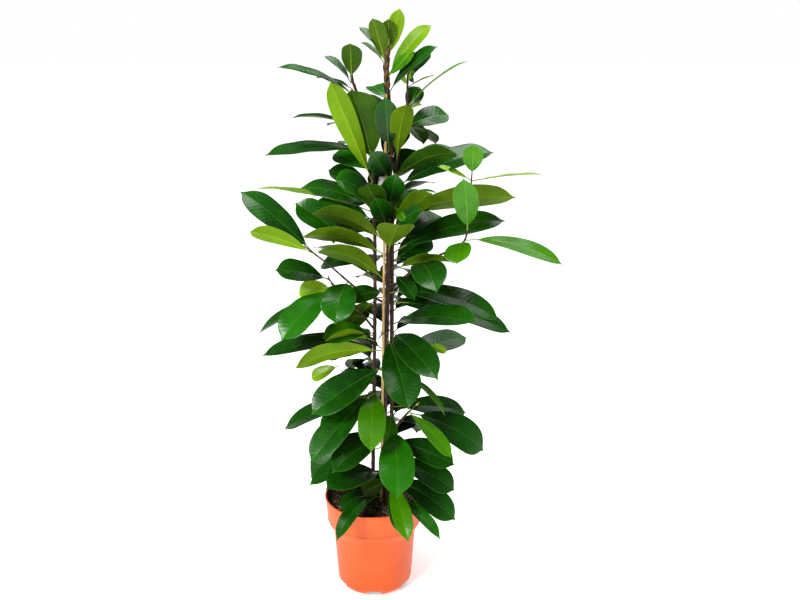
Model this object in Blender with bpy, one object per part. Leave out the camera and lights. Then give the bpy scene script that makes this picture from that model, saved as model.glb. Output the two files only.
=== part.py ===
"""Potted ficus: an African fig on a bamboo stake in a round terracotta-coloured nursery pot.

World: metres, +Z up, origin on the floor under the middle of the pot. +X is the right-hand side
of the plant and -Y its front. The plan of the plant, its stems and leaves, is in millimetres from
the middle of the soil's surface, so the plant goes up and down with the pot.
"""

import math

import bmesh
import bpy
from mathutils import Vector

MM = 0.001

# ---- pot ----
POT_HEIGHT = 205.0
RIM_R = 105.0  # outside of the lip
LIP_TALL = 4.0
LIP_OUT = 1.6  # how far the lip stands out from the collar
LIP_ROUND = 1.0
LIP_UNDER = 0.6  # slope on the lip's lower edge
COLLAR_TALL = 50.0  # from the rim to the bottom line of the collar
COLLAR_TAPER = 2.8
SHOULDER_TALL = 31.0  # the slope from the collar in to the body
BODY_TOP_R = 87.0
BODY_LOW_R = 79.5
FOOT_R = 62.0  # flat underside
CORNER_TALL = 17.0  # rounded corner between the body and the underside
WALL = 1.8
FLOOR = 2.2
POT_STEPS = 60
NOTCHES = 6
NOTCH_WIDE = 34.0
NOTCH_TALL = 14.0
NOTCH_SLOPE = 3.0  # how far each side leans in by its top
NOTCH_IN_R = 56.0
CUT_PAST = 5.0  # how far a cutter runs past what it cuts

# ---- fits ----
GAP = 0.3  # aimed at where pieces touch; their flat facets make it 0.1 to 0.8

# ---- soil ----
SOIL_DROP = 15.0  # crown of the soil below the rim
SOIL_DISH = 4.0  # how much lower the soil lies at the wall
SOIL_LUMP = 1.6
SOIL_FREE = 0.6  # between the soil and the wall, with room for both shapes' flat facets
SOIL_STEPS = 40
SOIL_RINGS = (1.0, 0.9, 0.78, 0.64, 0.5, 0.36, 0.22, 0.1)  # parts of the top's radius

# ---- plant ----
PLANT_HEIGHT = 1003.0  # soil to the highest leaf tip
PLAN_HEIGHT = 1003.0  # the same height in the plan below
STAKE_R = 2.8
STAKE_DEEP = 110.0
STEM_SIDES = 10
BRANCH_SIDES = 8
HOLE_ABOVE = 60.0  # how far above the soil the holes for stems and stake are cut
PETIOLE_R = 1.2
PETIOLE_PART = 0.11  # part of a leaf's length that is its stalk
STALK_ROUND = 0.6  # part of the stalk before it widens into the blade
BEND_AT = 0.45  # where along its length a leaf arches most
LEAF_THICK = 1.5
TIP_FROM = 0.9  # part of the blade past which it thins to its drip tip
TIP_THIN = 0.6
LEAF_CUP = 0.22  # how far the edges rise above the midrib, as a part of the half width
TIE_R = 0.8
TIE_ROOM = 1.2  # play between a tie and what it holds
TIE_BULGE = 1.2  # extra play at the sides, where the loop rounds off
TIE_STEPS = 20
TIE_SIDES = 6
TIE_HEIGHTS = (380.0, 735.0)

# Centrelines: (x, y, height above the soil, radius), each rising all the way.
STEMS = {
    "main": ((18, 8, -45, 5.4), (20, 7, 60, 5.4), (24, 4, 250, 5.0), (30, 4, 450, 4.6),
             (33, 4, 640, 4.4), (38, 3, 780, 4.4), (30, 1, 870, 4.6), (31, 0, 915, 4.0),
             (33, 0, 936, 1.2)),
    "left": ((-4, 14, -45, 4.4), (-2, 15, 100, 4.2), (2, 15, 300, 3.9), (5, 16, 500, 3.6),
             (4, 15, 660, 3.4), (-1, 13, 760, 3.0), (-16, 11, 825, 2.6), (-31, 8, 862, 2.3),
             (-35, 7, 886, 1.2)),
    "right": ((40, 18, -45, 4.6), (38, 19, 100, 4.4), (38, 20, 300, 4.1), (39, 18, 500, 3.9),
              (41, 16, 630, 3.8), (47, 13, 705, 3.4), (57, 11, 765, 2.9), (69, 8, 822, 2.5),
              (69, 6, 884, 1.4)),
    "low": ((26, -18, -45, 4.5), (30, -18, 60, 4.2), (37, -19, 150, 3.2), (55, -21, 190, 2.4),
            (76, -25, 216, 2.0), (88, -25, 228, 1.4)),
    "right_branch": ((40, 18, 468, 2.8), (90, 5, 512, 2.5), (135, -5, 540, 2.2),
                     (178, -15, 566, 2.0), (188, -20, 620, 1.8), (192, -20, 706, 1.3)),
    "left_branch": ((28, 4, 436, 2.6), (-25, -8, 468, 2.3), (-54, -15, 494, 2.1),
                    (-84, -20, 523, 1.8), (-116, -22, 549, 1.5), (-132, -22, 562, 1.1)),
    "left_twig": ((3, 15, 378, 2.4), (-38, 18, 430, 2.2), (-76, 15, 470, 1.9),
                  (-90, 14, 488, 1.2)),
}
GROWN_TOGETHER = {"main": ["left_branch"], "left": ["left_twig"], "right": ["right_branch"],
                  "low": []}
STAKE_FOOT = (13, -11)
STAKE_TOP = (29, -11, 850)

# Leaf outline: (part of the blade's length, part of its full width), with a drip tip.
OUTLINE = ((0.0, 0.03), (0.08, 0.22), (0.20, 0.52), (0.35, 0.79), (0.50, 0.95), (0.63, 1.0),
           (0.76, 0.96), (0.86, 0.77), (0.925, 0.46), (0.965, 0.14), (1.0, 0.02))

# Leaves: stem, height of the node on it, tip (x, y, height), full width, the way the upper face
# looks, how far the midrib arches towards that face, and tone. From the top of the plant down.
LEAVES = (
    ("main", 915, (55, 10, 1003), 26, (0.1, 1.0, 0.2), 4, "lime"),
    ("main", 903, (5, -15, 986), 30, (0.3, 0.9, 0.3), 3, "young"),
    ("main", 880, (112, -10, 975), 30, (-0.3, -0.7, 0.7), 6, "lime"),
    ("main", 850, (122, -25, 938), 34, (-0.5, -0.45, 0.7), 10, "mature"),
    ("left", 838, (-175, 10, 900), 30, (-0.3, -0.15, 1.0), 14, "mature"),
    ("left", 680, (-70, -92, 880), 37, (-0.3, 0.85, 0.35), 10, "lime"),
    ("left", 712, (-34, -44, 862), 66, (0.15, 0.95, 0.3), 5, "mature"),
    ("right", 722, (66, -78, 838), 36, (0.0, 0.9, 0.3), 10, "young"),
    ("right", 826, (180, -10, 911), 26, (-0.45, 0.0, 0.9), 8, "young"),
    ("right", 785, (150, 40, 807), 44, (0.0, -0.7, 0.7), 10, "mature"),
    ("left", 740, (-200, -30, 740), 44, (0.0, -0.3, 0.95), 12, "mature"),
    ("left", 640, (-62, -60, 698), 44, (-0.2, -0.75, 0.6), 16, "mature"),
    ("left", 630, (-145, 60, 663), 44, (0.0, -0.6, 0.8), 18, "mature"),
    ("left_branch", 546, (-256, 12, 664), 46, (0.3, -0.85, 0.45), 10, "mature"),
    ("left_branch", 545, (-226, -95, 608), 32, (0.2, 0.9, 0.3), 10, "lime"),
    ("main", 560, (-111, -70, 638), 46, (0.25, 0.85, 0.45), 20, "young"),
    ("main", 535, (-127, -95, 598), 46, (0.25, 0.85, 0.45), 20, "young"),
    ("main", 480, (-100, -90, 570), 50, (0.3, 0.85, 0.4), 22, "young"),
    ("left_twig", 484, (-190, -20, 513), 46, (0.0, -0.55, 0.85), 8, "mature"),
    ("left_branch", 487, (-68, -110, 431), 58, (-0.1, -0.8, 0.5), 18, "mature"),
    ("left_twig", 466, (-176, -80, 388), 58, (-0.3, -0.7, 0.65), 14, "mature"),
    ("left", 366, (-222, -40, 342), 44, (0.0, -0.4, 0.9), 8, "mature"),
    ("main", 335, (-151, -90, 334), 42, (0.0, 0.95, 0.35), 24, "lime"),
    ("main", 302, (-121, -90, 237), 62, (-0.25, -0.7, 0.65), 15, "mature"),
    ("main", 366, (72, -150, 274), 62, (0.0, -0.8, 0.6), 14, "mature"),
    ("right", 388, (198, -140, 445), 58, (0.0, -0.55, 0.85), 18, "mature"),
    ("right", 368, (126, -165, 340), 54, (-0.15, -0.7, 0.7), 22, "mature"),
    ("right", 300, (200, 110, 330), 52, (0.0, -0.5, 0.85), 16, "mature"),
    ("main", 459, (251, -60, 423), 50, (0.0, -0.45, 0.9), 28, "mature"),
    ("right", 436, (287, 40, 364), 46, (0.0, -0.45, 0.9), 16, "mature"),
    ("right_branch", 512, (122, -150, 507), 56, (0.0, -0.6, 0.8), 24, "mature"),
    ("right_branch", 572, (368, -60, 535), 36, (0.1, -0.55, 0.8), 18, "young"),
    ("right_branch", 592, (173, -60, 699), 42, (0.0, -1.0, 0.15), 8, "young"),
    ("right_branch", 688, (331, -20, 701), 30, (0.0, 0.15, 1.0), 4, "lime"),
    ("right", 668, (237, 20, 740), 60, (0.0, -0.55, 0.85), 18, "mature"),
    ("main", 683, (160, -90, 752), 46, (0.0, 0.6, 0.8), 20, "mature"),
    ("main", 545, (55, -150, 632), 58, (0.0, 0.5, 0.85), 8, "young"),
    ("right", 612, (283, 20, 650), 52, (0.0, 0.85, 0.5), 20, "young"),
    ("right", 538, (265, 30, 602), 58, (0.0, -0.5, 0.85), 22, "mature"),
    ("left", 242, (-124, -110, 141), 52, (-0.3, -0.75, 0.5), 20, "mature"),
    ("left", 241, (-1, -150, 184), 48, (0.0, -0.75, 0.6), 22, "young"),
    ("main", 58, (-91, -130, 94), 60, (-0.1, -0.5, 0.85), 16, "mature"),
    ("low", 174, (50, -172, 98), 62, (0.0, -0.8, 0.6), 22, "mature"),
    ("low", 60, (170, -70, -10), 50, (0.1, -0.6, 0.8), 20, "mature"),
    ("low", 212, (229, -30, 128), 62, (0.15, -0.6, 0.8), 22, "mature"),
    ("main", 790, (-40, 150, 830), 46, (0.0, -0.3, 0.95), 14, "mature"),
    ("right", 590, (70, 190, 640), 54, (0.0, -0.3, 0.95), 20, "mature"),
    ("left", 480, (-130, 150, 520), 54, (0.2, -0.2, 0.95), 18, "mature"),
    ("right", 430, (150, 170, 420), 56, (0.0, 0.3, 0.95), 22, "mature"),
    ("left", 300, (-75, 185, 290), 58, (0.0, 0.3, 0.95), 22, "mature"),
    ("main", 200, (60, 190, 150), 58, (0.0, 0.4, 0.9), 22, "mature"),
)

TONES = {"mature": (0.012, 0.060, 0.010), "young": (0.10, 0.26, 0.012),
         "lime": (0.30, 0.46, 0.015)}

SOIL_Z = POT_HEIGHT - SOIL_DROP
GROWTH = PLANT_HEIGHT / PLAN_HEIGHT


# ---- scene and materials ----
def clear_scene():
    for obj in list(bpy.data.objects):
        bpy.data.objects.remove(obj, do_unlink=True)


def finish_of(name, colour, roughness, metallic=0.0):
    """One Principled material, made once and shared by name."""
    found = bpy.data.materials.get(name)
    if found:
        return found
    mat = bpy.data.materials.new(name)
    mat.use_nodes = True
    shader = mat.node_tree.nodes["Principled BSDF"]
    shader.inputs["Base Color"].default_value = (*colour, 1.0)
    shader.inputs["Roughness"].default_value = roughness
    shader.inputs["Metallic"].default_value = metallic
    return mat


def orange_plastic():
    return finish_of("orange_pot_plastic", (0.87, 0.15, 0.035), 0.45)


def potting_mix():
    return finish_of("potting_mix", (0.012, 0.008, 0.005), 0.95)


def dry_bamboo():
    return finish_of("dry_bamboo", (0.55, 0.36, 0.14), 0.5)


def stem_bark():
    return finish_of("stem_bark", (0.055, 0.030, 0.012), 0.75)


def tie_plastic():
    return finish_of("tie_plastic", (0.30, 0.17, 0.06), 0.5)


def leaf_of(tone):
    return finish_of(tone + "_leaf", TONES[tone], 0.35)


# ---- meshes ----
def new_object(name, mesh, material, smooth=True):
    obj = bpy.data.objects.new(name, mesh)
    bpy.context.scene.collection.objects.link(obj)
    mesh.materials.append(material)
    if smooth:
        mesh.shade_smooth()
        mesh.set_sharp_from_angle(angle=math.radians(40))
    return obj


def mesh_of(name, points, faces):
    """A mesh from points in millimetres, its faces turned outwards."""
    mesh = bpy.data.meshes.new(name)
    mesh.from_pydata([Vector(p) * MM for p in points], [], faces)
    work = bmesh.new()
    work.from_mesh(mesh)
    bmesh.ops.recalc_face_normals(work, faces=work.faces)
    work.to_mesh(mesh)
    work.free()
    return mesh


def loft(name, sections):
    """A closed skin through sections that all have the same number of points."""
    count = len(sections[0])
    points = [p for section in sections for p in section]
    faces = [list(range(count)), list(range(len(points) - count, len(points)))]
    for i in range(len(sections) - 1):
        for j in range(count):
            k = (j + 1) % count
            faces.append((i * count + j, i * count + k, (i + 1) * count + k, (i + 1) * count + j))
    return mesh_of(name, points, faces)


def cut(obj, tool):
    """Takes tool away from obj."""
    tool.hide_render = True
    tool.display_type = "WIRE"
    boolean = obj.modifiers.new("cut_" + tool.name, "BOOLEAN")
    boolean.operation = "DIFFERENCE"
    boolean.solver = "EXACT"
    boolean.object = tool


def grow_into(obj, branch):
    """Joins branch to obj as one grown piece."""
    branch.hide_render = True
    branch.display_type = "WIRE"
    boolean = obj.modifiers.new("grow_" + branch.name, "BOOLEAN")
    boolean.operation = "UNION"
    boolean.solver = "EXACT"
    boolean.object = branch


def lathe(name, profile, steps, material):
    """Turns a profile (radius, height) in millimetres about Z. It runs down the outer side."""
    mesh = bpy.data.meshes.new(name)
    points = [(r * MM, 0.0, z * MM) for r, z in profile]
    edges = [(i, i + 1) for i in range(len(points) - 1)]
    mesh.from_pydata(points, edges, [])
    obj = new_object(name, mesh, material, smooth=False)
    screw = obj.modifiers.new("turn", "SCREW")
    screw.axis = "Z"
    screw.angle = math.tau
    screw.steps = steps
    screw.render_steps = steps
    screw.use_merge_vertices = True
    screw.merge_threshold = 0.00001
    screw.use_smooth_shade = True
    return obj


# ---- centrelines ----
def smooth_line(points, per_span=4):
    """Points (x, y, z, radius) along a Catmull-Rom curve through the given ones."""
    line = [Vector(p) for p in points]
    line = [2 * line[0] - line[1]] + line + [2 * line[-1] - line[-2]]
    out = []
    for a, b, c, d in zip(line, line[1:], line[2:], line[3:]):
        for i in range(per_span):
            t = i / per_span
            out.append(0.5 * (2 * b + (c - a) * t + (2 * a - 5 * b + 4 * c - d) * t * t
                              + (3 * b - 3 * c + d - a) * t ** 3))
    out.append(line[-2])
    return out


def world_line(name):
    """The stem's smooth centreline in world millimetres, as (point, radius)."""
    line = smooth_line(STEMS[name])
    rise = Vector((0, 0, SOIL_Z))
    return [(Vector(p[:3]) * GROWTH + rise, p[3]) for p in line]


def at_height(name, height):
    """Centre, radius and direction of a stem at a height above the soil, in the plan's units."""
    line = world_line(name)
    z = SOIL_Z + height * GROWTH
    for (a, ra), (b, rb) in zip(line, line[1:]):
        if a.z <= z <= b.z:
            t = (z - a.z) / (b.z - a.z)
            return a.lerp(b, t), ra + (rb - ra) * t, (b - a).normalized()
    raise ValueError(f"{name} has no point at height {height}")


def stake_line():
    foot = Vector((*STAKE_FOOT, 0)) * GROWTH + Vector((0, 0, SOIL_Z - STAKE_DEEP))
    top = Vector(STAKE_TOP) * GROWTH + Vector((0, 0, SOIL_Z))
    return foot, top


def stake_at(height):
    foot, top = stake_line()
    return foot.lerp(top, (SOIL_Z + height * GROWTH - foot.z) / (top.z - foot.z))


def ring(centre, direction, radius, sides, twist=0.0):
    """A circle of points about a direction."""
    side = direction.cross(Vector((0, 1, 0.01))).normalized()
    up = side.cross(direction).normalized()
    turns = [math.tau * i / sides + twist for i in range(sides)]
    return [centre + (side * math.cos(a) + up * math.sin(a)) * radius for a in turns]


def tube(name, line, sides, grown=0.0):
    """A closed tube along (point, radius) pairs, grown outwards by a clearance if given."""
    sections = []
    for i, (point, radius) in enumerate(line):
        before = line[max(i - 1, 0)][0]
        after = line[min(i + 1, len(line) - 1)][0]
        sections.append(ring(point, (after - before).normalized(), radius + grown, sides))
    return loft(name, sections)


# ---- pieces ----
def pot_outside():
    """Outer profile (radius, height) of the pot from the lip down to the underside."""
    collar_top = RIM_R - LIP_OUT
    collar_low = collar_top - COLLAR_TAPER
    collar_z = POT_HEIGHT - COLLAR_TALL
    slope = [(collar_low + (BODY_TOP_R - collar_low) * (1 - math.cos(math.pi * t)) / 2,
              collar_z - SHOULDER_TALL * t) for t in (0.0, 0.25, 0.5, 0.75, 1.0)]
    corner = [(FOOT_R + (BODY_LOW_R - FOOT_R) * math.cos(a), CORNER_TALL * (1 - math.sin(a)))
              for a in (math.radians(d) for d in (0, 22, 45, 68, 90))]
    lip = [(RIM_R - LIP_ROUND, POT_HEIGHT), (RIM_R, POT_HEIGHT - LIP_ROUND),
           (RIM_R, POT_HEIGHT - LIP_TALL + LIP_UNDER), (collar_top, POT_HEIGHT - LIP_TALL)]
    return lip + slope + corner


def pot_inside():
    """Inner profile of the pot from the rim down to the edge of its floor."""
    outside = pot_outside()
    wall = [(r - WALL, z) for r, z in outside[4:-2]]
    return [(outside[3][0] - WALL, POT_HEIGHT)] + wall + [(FOOT_R, FLOOR)]


def wall_inside_r(z):
    """Inner radius of the pot at a height."""
    inside = pot_inside()
    for (r0, z0), (r1, z1) in zip(inside, inside[1:]):
        if z1 <= z <= z0:
            return r1 + (r0 - r1) * (z - z1) / (z0 - z1)
    raise ValueError(f"the pot has no wall at {z}")


def pot():
    profile = [(0.0, FLOOR)] + pot_inside()[::-1] + pot_outside() + [(0.0, 0.0)]
    body = lathe("pot", profile, POT_STEPS, orange_plastic())
    for i in range(NOTCHES):
        cut(body, notch_tool(i))
    return body


def notch_tool(i):
    """A drainage notch: wider at the floor than at its top, cut in from the outside."""
    low, high = NOTCH_WIDE / 2, NOTCH_WIDE / 2 - NOTCH_SLOPE
    shape = [(-low, -CUT_PAST), (low, -CUT_PAST), (high, NOTCH_TALL), (-high, NOTCH_TALL)]
    near = [(x, -NOTCH_IN_R, z) for x, z in shape]
    far = [(x, -BODY_LOW_R - CUT_PAST, z) for x, z in shape]
    tool = new_object(f"notch_tool_{i}", loft(f"notch_tool_{i}", [near, far]),
                      orange_plastic(), smooth=False)
    tool.rotation_euler.z = math.tau * i / NOTCHES
    return tool


def soil_top(r, angle):
    """Height of the soil's uneven surface."""
    edge = (r / RIM_R) ** 2
    lumps = (math.sin(3 * angle + r * 0.11) + math.sin(5 * angle - r * 0.17)
             + math.sin(2 * angle + r * 0.29)) / 3
    return SOIL_Z - SOIL_DISH * edge + SOIL_LUMP * lumps * min(1.0, r / 20)


def potting_soil():
    """The root ball: the pot's inside, one clearance smaller, with an uneven top."""
    edge_z = SOIL_Z - SOIL_DISH
    below = [(r - SOIL_FREE, z) for r, z in pot_inside()[::-1] if z < edge_z - 2 * SOIL_LUMP]
    below[0] = (below[0][0], FLOOR + GAP)
    edge_r = wall_inside_r(edge_z) - SOIL_FREE
    turns = [math.tau * a / SOIL_STEPS for a in range(SOIL_STEPS)]
    sections = [[(r * math.cos(a), r * math.sin(a), z) for a in turns] for r, z in below]
    for part in SOIL_RINGS:
        r = edge_r * part
        sections.append([(r * math.cos(a), r * math.sin(a), soil_top(r, a)) for a in turns])
    body = new_object("potting_soil", loft("potting_soil", sections), potting_mix())
    for name in GROWN_TOGETHER:
        cut(body, root_hole(name))
    foot = stake_line()[0]
    line = [(foot - Vector((0, 0, GAP)), STAKE_R), (stake_at(HOLE_ABOVE), STAKE_R)]
    cut(body, new_object("stake_hole", tube("stake_hole", line, STEM_SIDES, GAP),
                         potting_mix(), smooth=False))
    return body


def root_hole(name):
    line = world_line(name)
    low = [(line[0][0] - Vector((0, 0, GAP)), line[0][1])]
    low += [pair for pair in line[1:] if pair[0].z < SOIL_Z + HOLE_ABOVE]
    tool = "hole_of_" + name
    return new_object(tool, tube(tool, low, STEM_SIDES, GAP), potting_mix(), smooth=False)


def bamboo_stake():
    foot, top = stake_line()
    mesh = tube("bamboo_stake", [(foot, STAKE_R), (top, STAKE_R)], STEM_SIDES)
    return new_object("bamboo_stake", mesh, dry_bamboo())


def stem(name, branches):
    body = new_object("stem_" + name, tube("stem_" + name, world_line(name), STEM_SIDES),
                      stem_bark())
    for branch in branches:
        mesh = tube(branch, world_line(branch), BRANCH_SIDES)
        grow_into(body, new_object(branch, mesh, stem_bark()))
    return body


def tie(i, height):
    """A loop of coated wire round the stake and the main stem, clear of both."""
    stem_centre, stem_r, _ = at_height("main", height)
    stake_centre = stake_at(height)
    along = stem_centre - stake_centre
    middle = (stem_centre + stake_centre) / 2
    thick = max(stem_r, STAKE_R) + TIE_ROOM + TIE_R
    long_half = along.length / 2 + thick
    along.z = 0
    along.normalize()
    across = Vector((-along.y, along.x, 0))
    work = bmesh.new()
    rings = []
    for s in range(TIE_STEPS):
        a = math.tau * s / TIE_STEPS
        outward = along * math.cos(a) + across * math.sin(a)
        reach = along * (math.cos(a) * long_half) + across * (math.sin(a) * (thick + TIE_BULGE))
        point = middle + reach
        corners = []
        for c in range(TIE_SIDES):
            b = math.tau * c / TIE_SIDES
            spot = point + (outward * math.cos(b) + Vector((0, 0, 1)) * math.sin(b)) * TIE_R
            corners.append(work.verts.new(spot * MM))
        rings.append(corners)
    for s in range(TIE_STEPS):
        near, far = rings[s], rings[(s + 1) % TIE_STEPS]
        for c in range(TIE_SIDES):
            d = (c + 1) % TIE_SIDES
            work.faces.new((near[c], near[d], far[d], far[c]))
    bmesh.ops.recalc_face_normals(work, faces=work.faces)
    mesh = bpy.data.meshes.new(f"plant_tie_{i}")
    work.to_mesh(mesh)
    work.free()
    return new_object(f"plant_tie_{i}", mesh, tie_plastic())


def leaf_line(row):
    """Base, bend and tip of a leaf's midrib, and its face direction, in world millimetres."""
    stem_name, height, tip, _, face, arch, _ = row
    centre, radius, along = at_height(stem_name, height)
    tip = Vector(tip) * GROWTH + Vector((0, 0, SOIL_Z))
    out = tip - centre
    out -= along * out.dot(along)
    out.normalize()
    base = centre + out * (radius + GAP)
    chord = tip - base
    face = Vector(face)
    face -= chord * (face.dot(chord) / chord.length_squared)
    face.normalize()
    start = chord * BEND_AT + face * (2 * arch * GROWTH)
    # the stalk's end is cut square, so the more it leans along the stem the further out it starts
    square_on = min(abs(start.normalized().dot(out)), 1.0)
    base += out * (PETIOLE_R * math.sqrt(1 - square_on ** 2))
    return base, base + start, tip, face


def leaf(i, row):
    """One leaf with its stalk: a thin blade, creased along the midrib, in one closed piece."""
    base, bend, tip, face = leaf_line(row)
    half = row[3] * GROWTH / 2
    stations = [(s, PETIOLE_R, 0.0, PETIOLE_R) for s in (0.0, PETIOLE_PART * STALK_ROUND)]
    for part, wide in OUTLINE:
        w = max(half * wide, 0.5)
        thick = LEAF_THICK / 2 * (1.0 if part < TIP_FROM else TIP_THIN)
        stations.append((PETIOLE_PART + (1 - PETIOLE_PART) * part, w, LEAF_CUP * w, thick))
    sections = []
    for s, w, rise, thick in stations:
        centre = base * (1 - s) ** 2 + bend * (2 * s * (1 - s)) + tip * s * s
        along = ((bend - base) * (1 - s) + (tip - bend) * s).normalized()
        up = (face - along * face.dot(along)).normalized()
        side = along.cross(up)
        sections.append([centre + side * w + up * rise, centre + up * thick,
                         centre - side * w + up * rise, centre - up * thick])
    name = f"leaf_{i:02d}"
    return new_object(name, loft(name, sections), leaf_of(row[6]))


def build():
    clear_scene()
    whole = bpy.data.objects.new("potted_ficus", None)
    bpy.context.scene.collection.objects.link(whole)
    pieces = [pot(), potting_soil(), bamboo_stake()]
    pieces += [stem(name, branches) for name, branches in GROWN_TOGETHER.items()]
    pieces += [tie(i, height) for i, height in enumerate(TIE_HEIGHTS, 1)]
    pieces += [leaf(i, row) for i, row in enumerate(LEAVES, 1)]
    for piece in pieces:
        piece.parent = whole


build()
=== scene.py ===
"""Potted ficus: the finished look of an African fig on a bamboo stake in a round nursery pot.

World: metres, +Z up, +X to the plant's right, -Y to its front. The plan of the plant is in
millimetres from the middle of the soil's surface, the same plan that the frame was built to.
"""

import math
import random

import bmesh
import bpy
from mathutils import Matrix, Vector, noise


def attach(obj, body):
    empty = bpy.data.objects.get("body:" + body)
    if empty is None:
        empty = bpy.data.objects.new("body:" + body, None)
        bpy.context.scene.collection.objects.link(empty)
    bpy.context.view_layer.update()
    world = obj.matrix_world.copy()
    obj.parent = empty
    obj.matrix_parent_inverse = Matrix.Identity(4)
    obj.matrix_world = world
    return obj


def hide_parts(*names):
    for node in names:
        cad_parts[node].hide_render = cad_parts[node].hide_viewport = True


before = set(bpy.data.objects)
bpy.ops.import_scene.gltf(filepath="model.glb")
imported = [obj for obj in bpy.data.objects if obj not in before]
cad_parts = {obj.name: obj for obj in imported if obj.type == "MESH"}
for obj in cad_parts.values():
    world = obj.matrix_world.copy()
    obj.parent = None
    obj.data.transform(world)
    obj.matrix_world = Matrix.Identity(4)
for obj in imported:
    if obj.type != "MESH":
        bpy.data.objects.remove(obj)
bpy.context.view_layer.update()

MM = 0.001

# ---- sizes, in millimetres ----
POT_HEIGHT = 205.0
RIM_R = 105.0
LIP_TALL = 4.0
LIP_OUT = 1.6
COLLAR_TALL = 50.0
COLLAR_TAPER = 2.8
COLLAR_STEP = 0.7  # the collar's lower edge stands this far out
SHOULDER_TALL = 31.0
BODY_TOP_R = 87.0
BODY_LOW_R = 79.5
FOOT_R = 62.0
CORNER_TALL = 17.0
WALL = 1.8
FLOOR = 2.2
NOTCHES = 6
NOTCH_WIDE = 34.0
NOTCH_TALL = 14.0
NOTCH_SLOPE = 3.0
NOTCH_IN_R = 56.0
POT_STEPS = 180

SOIL_DROP = 15.0
SOIL_DISH = 4.0
SOIL_LUMP = 1.6
SOIL_Z = POT_HEIGHT - SOIL_DROP
SOIL_EDGE_R = 100.2
BARE_EDGE = 2.5  # no bits are strewn this close to the wall

STAKE_R = 2.8
STAKE_DEEP = 110.0
STAKE_FOOT = (13, -11)
STAKE_TOP = (29, -11, 850)
STAKE_JOINTS = (-95, 42, 190, 331, 480, 634, 782)  # heights of the cane's joints above the soil
TIE_R = 0.8
TIE_HEIGHTS = (380.0, 735.0)

PETIOLE_R = 1.2
PETIOLE_PART = 0.11
STALK_STEPS = (0.0, 0.12, 0.35, 0.6, 0.85)  # sections along a stalk, as parts of its length
BEND_AT = 0.45
CUP = 0.22  # how far a blade's halves lift, as a share of its half width
BROAD = 1.16  # the real blades are this much broader than their frames
BLADE_THICK = 0.6
VEIN_GAP = 9.0  # between the side veins along the midrib
VEIN_LEAN = 62.0  # how far forwards a side vein runs in 100 mm across

LENS = 40.995
CAMERA_PLACE = (0.055, -1.75, 1.157)  # metres
CAMERA_TILT = 16.6  # degrees below level
FLOOR_HALF = 30000.0

# Centrelines: (x, y, height above the soil, radius), each rising all the way.
STEMS = {
    "main": ((18, 8, -45, 5.4), (20, 7, 60, 5.4), (24, 4, 250, 5.0), (30, 4, 450, 4.6),
             (33, 4, 640, 4.4), (38, 3, 780, 4.4), (30, 1, 870, 4.6), (31, 0, 915, 4.0),
             (33, 0, 936, 1.2)),
    "left": ((-4, 14, -45, 4.4), (-2, 15, 100, 4.2), (2, 15, 300, 3.9), (5, 16, 500, 3.6),
             (4, 15, 660, 3.4), (-1, 13, 760, 3.0), (-16, 11, 825, 2.6), (-31, 8, 862, 2.3),
             (-35, 7, 886, 1.2)),
    "right": ((40, 18, -45, 4.6), (38, 19, 100, 4.4), (38, 20, 300, 4.1), (39, 18, 500, 3.9),
              (41, 16, 630, 3.8), (47, 13, 705, 3.4), (57, 11, 765, 2.9), (69, 8, 822, 2.5),
              (69, 6, 884, 1.4)),
    "low": ((26, -18, -45, 4.5), (30, -18, 60, 4.2), (37, -19, 150, 3.2), (55, -21, 190, 2.4),
            (76, -25, 216, 2.0), (88, -25, 228, 1.4)),
    "right_branch": ((40, 18, 468, 2.8), (90, 5, 512, 2.5), (135, -5, 540, 2.2),
                     (178, -15, 566, 2.0), (188, -20, 620, 1.8), (192, -20, 706, 1.3)),
    "left_branch": ((28, 4, 436, 2.6), (-25, -8, 468, 2.3), (-54, -15, 494, 2.1),
                    (-84, -20, 523, 1.8), (-116, -22, 549, 1.5), (-132, -22, 562, 1.1)),
    "left_twig": ((3, 15, 378, 2.4), (-38, 18, 430, 2.2), (-76, 15, 470, 1.9),
                  (-90, 14, 488, 1.2)),
}
GROWN_TOGETHER = {"main": ["left_branch"], "left": ["left_twig"], "right": ["right_branch"],
                  "low": []}

# Leaf outline: (part of the blade's length, part of its full width), with a drip tip.
OUTLINE = ((0.0, 0.03), (0.08, 0.22), (0.20, 0.52), (0.35, 0.79), (0.50, 0.95), (0.63, 1.0),
           (0.76, 0.96), (0.86, 0.77), (0.925, 0.46), (0.965, 0.14), (1.0, 0.02))

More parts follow.
